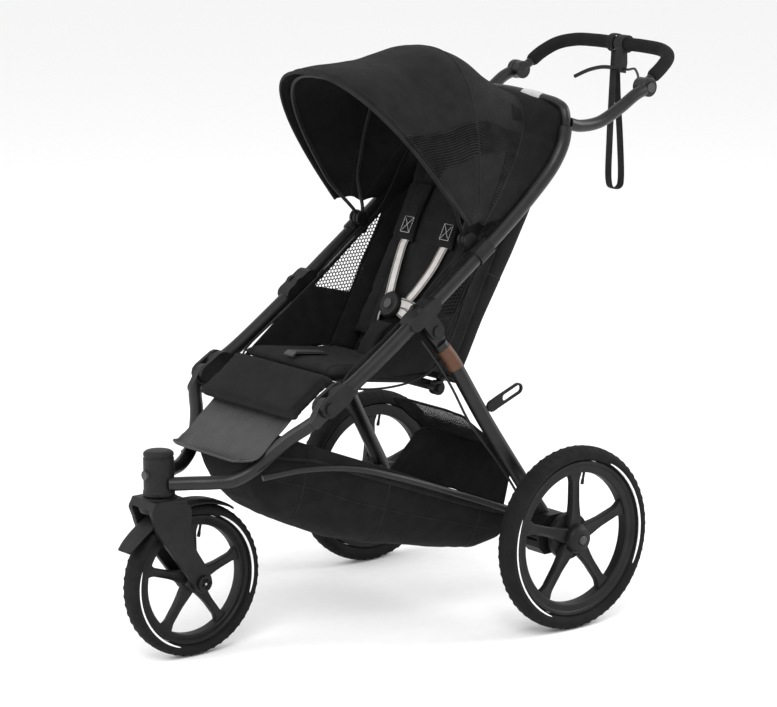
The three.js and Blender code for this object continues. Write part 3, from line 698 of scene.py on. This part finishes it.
def pillow(name, body, finish, nodes, line, half, thick, slot="fabric", pull=5.0, centre=0.0):
    """A closed crowned pad along (y, z) points: its sides pull in between the corners."""
    path = spline([(0, y, z) for y, z in line], 8)
    up_rows, down_rows = [], []
    for i, (p, _, _, up) in enumerate(frames(path, (1, 0, 0))):
        v = 2 * i / (len(path) - 1) - 1
        top, bottom = [], []
        for j in range(31):
            u = 2 * j / 30 - 1
            h = 0.5 * thick * (1 - abs(u) ** 7) ** 0.45 * (1 - abs(v) ** 9) ** 0.45 + 0.6
            reach = half - pull * (1 - v * v)
            base = p + Vector((centre + u * reach, 0, 0))
            top.append(base + up * h)
            bottom.append(base - up * h)
        up_rows.append(top)
        down_rows.append(list(reversed(bottom)))
    shape = Shape()
    shape.grid([a + b for a, b in zip(up_rows, down_rows)], wrap=True)
    n = 2 * len(up_rows[0])
    last = (len(up_rows) - 1) * n
    for row in (0, last):
        for j in range(len(up_rows[0]) - 1):
            quad = (row + j, row + j + 1, row + n - 2 - j, row + n - 1 - j)
            shape.faces.append(quad if row else tuple(reversed(quad)))
    obj = shape.make(name, body, finish, slot, nodes)
    return obj


RECLINE, BACK_ANGLE = (-190, 470), radians(63.4)
TO_CHILD = Vector((0, -sin(BACK_ANGLE), cos(BACK_ANGLE)))


def on_back(along, off):
    return (RECLINE[0] + along * cos(BACK_ANGLE) - off * sin(BACK_ANGLE),
            RECLINE[1] + along * sin(BACK_ANGLE) + off * cos(BACK_ANGLE))


def along_back(p):
    return (p.y - RECLINE[0]) * cos(BACK_ANGLE) + (p.z - RECLINE[1]) * sin(BACK_ANGLE)


seat = pillow("seat_cushion", "main_frame", LINING, ["seat_pad"], [(-216, 500), (-330, 516), (-450, 532)],
              150, 19, pull=2)
puff(seat, cap=5)
press(seat, lambda p: min(abs(abs(p.x) - 118), abs(p.y + 300)), 2.4, 4.5, Vector((0, 0, 1)))
calf = pillow("calf_cushion", "main_frame", FABRIC, ["calf_pad"], [(-447, 530), (-500, 494), (-553, 456)],
              158, 17, pull=2)
puff(calf, cap=5)
press(calf, lambda p: min(abs(p.z - 470), abs(abs(p.x) - 140)), 1.6, 4.0)
back = pillow("back_cushion", "backrest", LINING, ["backrest_pad"],
              [on_back(56, 21), on_back(250, 21), on_back(460, 21)], 142, 20)
puff(back, cap=6)
press(back, lambda p: min(abs(abs(p.x) - 84), abs(along_back(p) - 150), abs(along_back(p) - 265),
                          abs(along_back(p) - 385)), 3.6, 5.0, TO_CHILD)

BACK_TUBE = [(132, 14, 0), (132, 40, -10), (132, 415, -10), (132, 439, -10), (118, 453, -10), (90, 457, -10),
             (0, 457, -10)]
shell = Shape()
for s in (1, -1):
    shell.tube([(s * x, *on_back(along, off)) for x, along, off in BACK_TUBE], 8, sides=24)
for start, end in ((124, 140), (-140, -124)):
    shell.lathe([(8.4, start), (14, start), (14, end), (8.4, end)], (0, *RECLINE), segments=40)
shell.make("back_tubes", "backrest", PAINT, "frame_paint", ["backrest_frame"], angle=50)


def cover_point(u, v):
    """A point of the fabric over the back tubes: u across from -1 to 1, v from the seat up."""
    along = lerp(46, 453, v)
    bow = 2.4 * (1 - u * u) * sin(pi * v) + ripple((u * 140, along, 0), 60, 1.4)
    return (u * 138, *on_back(along, -1 - bow))


rear_cover = Shape()
rear_cover.grid([[cover_point(u, v) for u in even(-1, 1, 32)] for v in even(0, 1, 48)])
cover = rear_cover.make("back_cover", "backrest", FABRIC, "fabric", thickness=4, angle=60)


def skirt_point(along, t, out=0.0):
    """The fabric box behind the backrest: t runs from one front edge round the back to the other."""
    c, s = cos(pi * t), max(sin(pi * t), 0)
    depth = lerp(42, 66, smoothstep(60, 440, along)) * s ** 0.35
    wave = (ripple((along, 300 * t, 7), 70, 3.0) + ripple((along, 700 * t, 2), 26, 0.9)) * s
    y, z = on_back(along, -4 - depth - out * s + wave)
    return Vector((copysign(abs(c) ** 0.3, c) * (147 + out), y, z))


skirt_rows = [[skirt_point(along, t) for t in even(0, 1, 56)] for along in even(24, 478, 60)]
skirt_shape = Shape()
skirt_shape.grid(skirt_rows)
skirt = skirt_shape.make("seat_back_skirt", "backrest", FABRIC, "fabric", thickness=2, angle=70)
skirt_trim = Shape()
for along in (25, 240, 477):
    skirt_trim.tube([skirt_point(along, t, 0.6) for t in even(0, 1, 40)], 1.6 if along == 240 else 2.4,
                    sides=8)
trim_piece = skirt_trim.make("seat_back_piping", "backrest", PIPING, "fabric")
cloth(skirt, skirt_rows, "stretched", ["back_tubes"], [trim_piece])

WING_REAR_Y, WING_REAR_Z = [(0, -226), (0.5, -84), (1, -5)], [(0, 512), (0.5, 762), (1, 822)]
for hand, s in SIDES:
    rows = []
    for t in even(0, 1, 40):
        y, z = table(WING_REAR_Y, t), table(WING_REAR_Z, t)
        rear = on_back(lerp(30, 400, t), -6)
        rows.append([(s * (lerp(158, 148, v) - 5 * sin(pi * v)), lerp(y, rear[0], v), lerp(z, rear[1], v))
                     for v in even(0, 1, 10)])
    gusset = Shape()
    gusset.grid(rows)
    piece = gusset.make(f"seat_gusset_{hand}", None, FABRIC, "fabric", thickness=2, ride=False, angle=70)
    bake(piece)
    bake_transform(piece)
    cloth(piece, rows, "stretched")

# ---- harness ----

CROSS = [(274, 47), (274, 73), (306, 73), (306, 47), (274, 47), (306, 73), (306, 47), (274, 73)]
for hand, s in SIDES:
    pad = pillow(f"shoulder_pad_{hand}", "backrest", FABRIC, [],
                 [on_back(255, 42), on_back(320, 44), on_back(384, 42)], 23, 9, slot="webbing", pull=1.5,
                 centre=s * 60)
    puff(pad, voxel=4, cap=3)
    web = Shape()
    web.strap([(60, *on_back(272, 42)), (59, *on_back(252, 46)), (53, *on_back(215, 48)),
               (40, *on_back(170, 53)), (30, *on_back(143, 57))], 23, 1.8)
    web.on(s).make(f"harness_{hand}", "backrest", WEBBING, "webbing", [f"shoulder_strap_{hand}"])
    cross = Shape()
    cross.stitch([(x, *on_back(along, 53)) for along, x in CROSS], length=4, gap=1.2, radius=0.75)
    cross.on(s).make(f"harness_stitches_{hand}", "backrest", THREAD, "webbing")

BUCKLE = (-195, 612)
for hand, s in SIDES:
    waist = Shape()
    waist.strap([(24, -196, 606), (36, -192, 598), (50, -184, 586), (64, -178, 574)], 22, 1.8,
                across=(0, 0.3, 0.95))
    waist.strap([(24, -192, 618), (34, -186, 616), (44, -178, 610)], 22, 1.8, across=(0, 0.5, 0.85))
    waist.on(s).make(f"waist_webbing_{hand}", "main_frame", WEBBING, "webbing")
clasp = Shape()
profile = [(10.3, -9), (24, -9.6), (26.6, -6), (27, 0), (26.6, 5), (24, 9), (20, 10.2), (17, 9.2),
           (10.3, 9.2)]
rows = []
for i in range(72):
    t = 2 * pi * i / 72
    rows.append([Vector((r * cos(t), 0, 0)) + Vector((0, BUCKLE[0], BUCKLE[1])) + TO_CHILD * a
                 + Vector((0, cos(BACK_ANGLE), sin(BACK_ANGLE))) * (r * sin(t)) for r, a in profile])
clasp.grid(rows, wrap=True, loop=True)
clasp.make("clasp", "main_frame", PLASTIC, "black_plastic", ["buckle"], bevel=0.5)
pillow("crotch_pad", "main_frame", FABRIC, ["crotch_strap"], [(-261, 520), (-250, 545), (-224, 572),
                                                              (-211, 580)], 23, 10, pull=2)

# ---- fabric panels with net windows ----


def inside(outline, p):
    hit = False
    for (x0, y0), (x1, y1) in zip(outline, outline[1:] + outline[:1]):
        if (y0 > p[1]) != (y1 > p[1]) and p[0] < (x1 - x0) * (p[1] - y0) / (y1 - y0) + x0:
            hit = not hit
    return hit


def dense(outline, spacing):
    out = []
    for a, b in zip(outline, outline[1:] + outline[:1]):
        n = max(int(dist(a, b) / spacing), 1)
        out.extend((lerp(a[0], b[0], i / n), lerp(a[1], b[1], i / n)) for i in range(n))
    return out


def panel(outline, window, place, spacing=7.0):
    """A triangulated sheet inside an outline, open at the window; place turns (u, v) into a point."""
    rims = [dense(r, spacing) for r in (outline, window) if r]
    points = [p for r in rims for p in r]
    edges, start = [], 0
    for r in rims:
        edges.extend((start + i, start + (i + 1) % len(r)) for i in range(len(r)))
        start += len(r)
    (u0, u1), (v0, v1) = ((min(p[k] for p in outline), max(p[k] for p in outline)) for k in (0, 1))
    for i in range(int((u1 - u0) / spacing)):
        for j in range(int((v1 - v0) / spacing)):
            p = (u0 + (i + 0.5 * (j % 2) + 0.25) * spacing, v0 + (j + 0.5) * spacing)
            if inside(outline, p) and not inside(window, p):
                if min(dist(p, q) for r in rims for q in r) > 0.55 * spacing:
                    points.append(p)
    verts, _, faces, *_ = delaunay_2d_cdt([Vector(p) for p in points], edges, [], 0, 1e-4)
    keep = []
    for f in faces:
        c = (sum(verts[i].x for i in f) / len(f), sum(verts[i].y for i in f) / len(f))
        if inside(outline, c) and not inside(window, c):
            keep.append(tuple(f))
    shape = Shape()
    shape.add([place(v.x, v.y) for v in verts], keep)
    return shape


def net(window, place, pitch=5.5, radius=0.42):
    """A net of six-sided cells made of real strands."""
    shape = Shape()
    (u0, u1), (v0, v1) = ((min(p[k] for p in window), max(p[k] for p in window)) for k in (0, 1))
    side = pitch / sqrt(3)
    for i in range(int((u1 - u0) / pitch) + 2):
        for j in range(int((v1 - v0) / (1.5 * side)) + 2):
            u, v = u0 + pitch * (i + 0.5 * (j % 2)), v0 + 1.5 * side * j
            top = (u, v + side / 2)
            for other in ((u, v - side / 2), (u - pitch / 2, v + side), (u + pitch / 2, v + side)):
                if inside(window, top) or inside(window, other):
                    a, b = Vector(place(*top)), Vector(place(*other))
                    t = (b - a).normalized()
                    n1 = t.orthogonal().normalized()
                    n2 = t.cross(n1)
                    ring = [n1 * radius, (n2 * 0.87 - n1 * 0.5) * radius, (-n2 * 0.87 - n1 * 0.5) * radius]
                    shape.add([a + r for r in ring] + [b + r for r in ring],
                              [(0, 1, 4, 3), (1, 2, 5, 4), (2, 0, 3, 5)])
    return shape


WING = [(-436, 516), (-226, 512), (-84, 762), (-5, 822), (45, 915), (-15, 895), (-92, 778), (-195, 692),
        (-321, 602)]
WING_WINDOW = [(-262, 634), (-174, 612), (-92, 765)]


def wing_point(side, y, z):
    return (side * (159 + ripple((y, z, 0), 70, 2.2)), y, z)


for hand, s in SIDES:
    wing_place = partial(wing_point, s)
    wing = panel(WING, WING_WINDOW, wing_place).make(f"wing_{hand}", "main_frame", FABRIC, "fabric",
                                                     [f"side_wing_{hand}"], thickness=2.6, angle=60)
    hems = Shape()
    hems.tube([wing_place(*p) for p in WING], 2.2, sides=10, closed=True)
    hems.tube([wing_place(*p) for p in WING_WINDOW], 1.8, sides=10, closed=True)
    hem = hems.make(f"wing_hem_{hand}", "main_frame", PIPING, "fabric")
    mesh_piece = net(WING_WINDOW, wing_place, 7.6, 1.25).make(f"wing_net_{hand}", "main_frame", NET, "fabric")

# ---- canopy ----

CANOPY = (-145, 757)
RADII = [(45, 338), (55, 322), (66, 323), (78, 346), (88, 355), (97, 347), (106, 346), (115, 364),
         (123, 392), (129, 411)]


def smooth_table(rows, v):
    return sum(table(rows, v + d) for d in (-3, -1.5, 0, 1.5, 3)) / 5


REAR_ARCH, MID_ARCH, FRONT_EDGE = 50, 85, 128


def canopy_point(angle, t, inset=0.0, crease=True):
    turn = pi * t
    width = lerp(186, 206, smoothstep(50, 125, angle))
    rise = max(sin(turn), 0) ** 0.8
    across = copysign(abs(cos(turn)) ** 0.8, cos(turn))
    a0, a1 = (REAR_ARCH, MID_ARCH) if angle < MID_ARCH else (MID_ARCH, FRONT_EDGE)
    between = sin(pi * clamp((angle - a0) / (a1 - a0)))
    creases = ripple((angle * 4, 500 * t, 3), 60, 2.0) + ripple((angle * 3, 900 * t, 9), 22, 0.8)
    sag = (1.5 * rise + creases * crease) * between
    r = rise * (smooth_table(RADII, angle) - inset - sag)
    a = radians(angle)
    return Vector((across * (width - inset), CANOPY[0] + r * cos(a), CANOPY[1] + r * sin(a)))


BAND_LOW = [(50, 0.19), (70, 0.145), (85, 0.125), (105, 0.12), (115, 0.12), (128, 0.10)]
BAND_HIGH = [(50, 0.24), (70, 0.215), (85, 0.19), (115, 0.19), (128, 0.20)]
PER_DEGREE, PER_T = 6.2, 900  # mm along the canopy for a degree and for a whole arch


def band(angle):
    return table(BAND_LOW, angle), table(BAND_HIGH, angle)


def canopy_windows(start, end):
    """The outlines (angle, t) of the net windows that lie between two angles."""
    angles = even(start, end, 10)
    windows = [[(a, band(a)[0]) for a in angles] + [(a, band(a)[1]) for a in reversed(angles)]]
    if start < 60:
        windows += [[(51.5, 0.06), (57, 0.05), (58.5, 0.17), (51.5, 0.18)],
                    [(51.5, 0.28), (57, 0.27), (56, 0.34), (51.5, 0.33)]]
    return windows


def window_point(flip, inset, u, v):
    t = v / PER_T
    return canopy_point(u / PER_DEGREE, 1 - t if flip else t, inset)


def canopy_panel(name, node, start, end, pipes):
    rows = [[canopy_point(angle, t) for t in even(0.02, 0.98, 120)] for angle in even(start, end, 56)]
    shape = Shape()
    shape.grid(rows)
    obj = shape.make(name, None, FABRIC, "fabric", [node], thickness=2, ride=False, angle=70)
    seams = Shape()
    for angle, radius in pipes:
        seams.tube([canopy_point(angle, t, -0.6, False) for t in even(0.02, 0.98, 60)], radius, sides=10)
    for k in (0, 1):
        line = [(angle, band(angle)[k]) for angle in even(start, end, 16)]
        seams.tube([canopy_point(angle, t, -0.6) for angle, t in line], 1.2, sides=8)
        seams.tube([canopy_point(angle, 1 - t, -0.6) for angle, t in line], 1.2, sides=8)
    trim = seams.make(f"{name}_piping", None, PIPING, "fabric", ride=False)
    # Under each net, a near-black sheet of painted shade stands for the shaded inside of the hood.
    shade_sheet, strands = Shape(), Shape()
    for window in canopy_windows(start + 0.6, end - 1):
        outline = [(a * PER_DEGREE, t * PER_T) for a, t in window]
        for flip in (False, True):
            shade_fill = panel(outline, [], partial(window_point, flip, -1.4), 6.0)
            shade_sheet.add(shade_fill.points, shade_fill.faces)
            web = net(outline, partial(window_point, flip, -2.0), 5.5, 0.75)
            strands.add(web.points, web.faces)
    shade_sheet = shade_sheet.make(f"{name}_painted_net_shade", None, NET_SHADE, "fabric", ride=False)
    strands = strands.make(f"{name}_net", None, NET, "fabric", ride=False)
    for piece in (obj, trim, shade_sheet, strands):
        bake(piece)
        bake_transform(piece)
    cloth(obj, rows, "stretched", (), [trim, shade_sheet, strands])


canopy_panel("canopy_rear", "canopy_rear_panel", 50, 85,
             ((50.5, 2.4), (84.6, 2.0)))
canopy_panel("canopy_front", "canopy_front_panel", 85, 128.5,
             ((126, 1.4), (128.3, 3.2)))

for name, angle, x0, x1 in (("canopy_mid_bow", 85, 153, 160), ("canopy_front_bow", 126, 163, 170)):
    bow = Shape()
    a = radians(angle)
    feet = [((x0 + x1) / 2, CANOPY[0] + r * cos(a), CANOPY[1] + r * sin(a)) for r in (6, 22)]
    over = [canopy_point(angle, t, 14, False) for t in even(0.05, 0.95, 24)]
    bow.tube([*feet, *over, *[(-x, y, z) for x, y, z in reversed(feet)]],
             lambda t: 3.5 + smoothstep(0.04, 0.12, min(t, 1 - t)), sides=16)
    for s in (1, -1):
        bow.lathe([(4.4, x0), (13, x0), (14, x0 + 1), (14, x1 - 1), (13, x1), (4.4, x1)], (0, *CANOPY),
                  segments=40, sign=s)
    bow.make(f"{name}_rod", name, PLASTIC, "frame_paint", [name], bevel=0.4)

# The hood's rear fabric, from its rear arch back to the side tubes and the top bow.
HOOD_FRAME = [(188, -66, 783), (188, -8, 832), (188, 46, 884), (187, 70, 925), (185, 78, 958),
              (180, 81, 986), (150, 85, 998), (75, 89, 1004), (0, 91, 1007)]
frame_line = spline(HOOD_FRAME + [(-x, y, z) for x, y, z in reversed(HOOD_FRAME[:-1])], 8)
rows = []
for target, t in zip(frame_line, even(0.02, 0.98, len(frame_line) - 1)):
    start = canopy_point(50.2, t, 0, False)
    row = []
    for v in even(0, 1, 24):
        p = start.lerp(target, v)
        p.z += 5 * sin(pi * v) + ripple((p.x, p.y, p.z), 55, 2.4) * sin(pi * v)
        row.append(p)
    rows.append(row)
hood = Shape()
hood.grid(rows)
hood_piece = hood.make("hood_rear_fabric", "main_frame", FABRIC, "fabric", thickness=2, angle=70)
cloth(hood_piece, rows, "stretched", ["side_tubes"])

# ---- basket ----

BASKET_TOP = [(-598, 382), (-584, 391), (-556, 404), (-486, 398), (-323, 334), (-179, 273), (-57, 226)]
BASKET_LOW = [(-598, 368), (-590, 330), (-568, 290), (-534, 258), (-487, 235), (-398, 192), (-306, 166),
              (-94, 126), (-57, 138)]
BASKET_PLAN = [(-598, 82), (-577, 99), (-548, 120), (-500, 136), (-420, 155), (-330, 172), (-179, 187),
               (-57, 193)]


def basket_point(y, t, deep=1.0, out=0.0):
    top, bottom = smooth_table(BASKET_TOP, y), smooth_table(BASKET_LOW, y)
    c, s = cos(pi * t), max(sin(pi * t), 0)
    drop = (top - bottom) * deep * s ** 0.42
    taper = 1 - 0.0016 * drop
    wide = (table(BASKET_PLAN, y) - 1 + out) * taper * copysign(abs(c) ** 0.5, c)
    wave = ripple((y, 300 * t, 0), 48, 3.2) * s + ripple((y, 700 * t, 5), 20, 1.0) * s
    return Vector((wide - wave * c, y, top - drop - wave * s - out * s))


stations, around = even(-597, -58, 130), even(0, 1, 72)
bag_rows = [[basket_point(-598, t, k / 6) for t in around] for k in range(6)]
bag_rows += [[basket_point(y, t) for t in around] for y in stations]
bag_rows += [[basket_point(-57, t, k / 6) for t in around] for k in range(5, -1, -1)]
tub = Shape()
tub.grid(bag_rows)
basket = tub.make("basket_bag", "basket_frame", FABRIC, "fabric", ["basket"], thickness=2.2, ride=False,
                  angle=70)
trims = Shape()
rim_loop = [basket_point(y, t, out=1) for t, ys in ((0.004, stations[::5]), (0.996, stations[::-5]))
            for y in ys]
trims.tube(rim_loop, 3.6, sides=12, closed=True, spacing=6)
for y in (-500, -330, -120):
    trims.tube([basket_point(y, t, out=0.8) for t in even(0, 1, 48)], 1.5, sides=8)
for t in (0.06, 0.94):
    trims.tube([basket_point(y, t, out=1.2) for y in stations[4:-4:5]], 1.3, sides=8)
basket_trim = trims.make("basket_piping", "basket_frame", PIPING, "fabric", ride=False)
for piece in (basket, basket_trim):
    bake(piece)
    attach(piece, "basket_frame")
    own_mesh(piece)
cloth(basket, bag_rows, "hung", ["basket_rails"], [basket_trim])


def back_wall(u, v):
    """The wall behind the basket's floor, with a net pocket that leans forward from it."""
    lift = v * (1 - 0.25 * abs(u) ** 4)
    return (u * lerp(178, 150, v), lerp(-58, 2, lift) + 6 * sin(3 * u) * v,
            lerp(226, 327, lift) + ripple((u * 150, v * 90, 1), 40, 3))


wall_rows = [[back_wall(u, v) for u in even(-1, 1, 48)] for v in even(0, 1, 20)]
wall_shape = Shape()
wall_shape.grid(wall_rows)
wall = wall_shape.make("basket_back_wall", "basket_frame", FABRIC, "fabric", thickness=2.2, angle=70)
wall_hem = Shape()
wall_hem.tube(wall_rows[-1][::4], 2.8, sides=10)
hem = wall_hem.make("basket_back_hem", "basket_frame", PIPING, "fabric")
pocket_outline = [(-128, 4), (128, 4), (108, 138), (60, 147), (-60, 147), (-108, 138)]


def pocket_place(u, v):
    return (u, lerp(-4, -112, v / 150), lerp(318, 404, v / 150) - 6 * sin(pi * clamp(v / 150)))


pocket = net(pocket_outline, pocket_place, 5.5, 0.75).make("basket_pocket_net", "basket_frame", NET, "fabric")
edge = Shape()
edge.tube([pocket_place(*p) for p in dense(pocket_outline, 20)], 2.4, sides=10, closed=True)
pocket_hem = edge.make("basket_pocket_hem", "basket_frame", PIPING, "fabric")
for piece in (wall, hem, pocket, pocket_hem):
    bake(piece)
    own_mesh(piece)
cloth(wall, wall_rows, "stretched", ["basket_bag"], [hem])

# ---- handle ----

HANDLE = (290, 1017)
ARM = [(192, 88, 962), (192, 115, 955), (192, 167, 958), (195, 219, 982), (197, 256, 1004), (197, 280, 1013)]
for hand, s in SIDES:
    shape = Shape()
    shape.tube(ARM, 12, sides=30)
    shape.lathe([(10.4, 190.4), (18, 190.4), (19, 191.4), (19, 202.6), (17.6, 204), (10.4, 204)],
                (0, *HANDLE), segments=56)
    shape.on(s).make(f"arm_{hand}", "main_frame", PAINT, "frame_paint", [f"handle_arm_{hand}"], bevel=0.6)

GRIP_HALF = [(180, 290, 1017), (180, 312, 1030), (178, 344, 1050), (164, 374, 1067), (130, 392, 1076),
             (70, 397, 1079), (25, 397, 1079)]
GRIP = GRIP_HALF + [(-x, y, z) for x, y, z in reversed(GRIP_HALF)]
bar = Shape()
bar.tube(GRIP, 9, sides=24)
for s in (1, -1):
    bar.lathe([(0.01, 172), (17, 172), (18, 173), (18, 189), (17, 190), (0.01, 190)], (0, *HANDLE),
              segments=56, sign=s)
bar.make("handle_core", "handlebar", PAINT, "frame_paint", ["handlebar"], bevel=0.6)
grip_line = spline(GRIP, 5)[6:-6]
foam = Shape()
foam.tube(grip_line, lambda t: 13.5 - 2.2 * max(0, 1 - min(t, 1 - t) / 0.012), sides=30)
foam.make("foam_grip", "handlebar", FOAM, "foam", ["grip_foam"], angle=60)

# ---- carried-over CAD parts ----

CARRIED = {"fold_housing": PLASTIC, "leg_bracket": PLASTIC, "axle_housing": PLASTIC, "canopy_pivot": PLASTIC,
           "handle_button": GREY_PLASTIC, "wheel_release": GREY_PLASTIC}
SINGLE = {"seat_base": PLASTIC, "storage_loop": PLASTIC, "fold_grip": GREY_PLASTIC,
          "buckle_button": GREY_PLASTIC, "front_axle": STEEL, "swivel_lock_button": GREY_PLASTIC,
          "brake_bracket": PLASTIC, "brake_lever": PLASTIC}
finishes = {**SINGLE, **{f"{name}_{side}": m for name, m in CARRIED.items() for side, _ in SIDES}}
for name, finish in finishes.items():
    node = bpy.data.objects[name]
    for material_slot in node.material_slots:
        material_slot.material = finish
    round_edges(node, 0.8)

# ---- studio ----

floor_mesh = bpy.data.meshes.new("floor")
floor_mesh.from_pydata([(-30, -30, 0), (30, -30, 0), (30, 30, 0), (-30, 30, 0)], [], [(0, 1, 2, 3)])
floor_mesh.materials.append(material("pale_floor", grey(0.9), 0.9, depth=0.02, tint=0.01))
floor = bpy.data.objects.new("floor", floor_mesh)
bpy.context.scene.collection.objects.link(floor)


def area_light(name, place, target, size, power):
    data = bpy.data.lights.new(name, "AREA")
    data.size = size
    data.energy = power
    light = bpy.data.objects.new(name, data)
    light.location = place
    light.rotation_euler = (Vector(target) - Vector(place)).to_track_quat("-Z", "Y").to_euler()
    bpy.context.scene.collection.objects.link(light)


area_light("key", (2.6, -2.6, 3.8), (0, 0, 0.5), 2.6, 150)
area_light("fill", (-1.2, -3.6, 2.2), (0, 0, 0.5), 3.0, 80)
area_light("rim_light", (1.8, 3.4, 2.6), (0, 0, 0.6), 2.4, 110)
world = bpy.data.worlds.new("studio")
world.use_nodes = True
world.node_tree.nodes["Background"].inputs["Color"].default_value = (1, 1, 1, 1)
world.node_tree.nodes["Background"].inputs["Strength"].default_value = 1.0
bpy.context.scene.world = world
bpy.context.scene.view_settings.view_transform = "Standard"
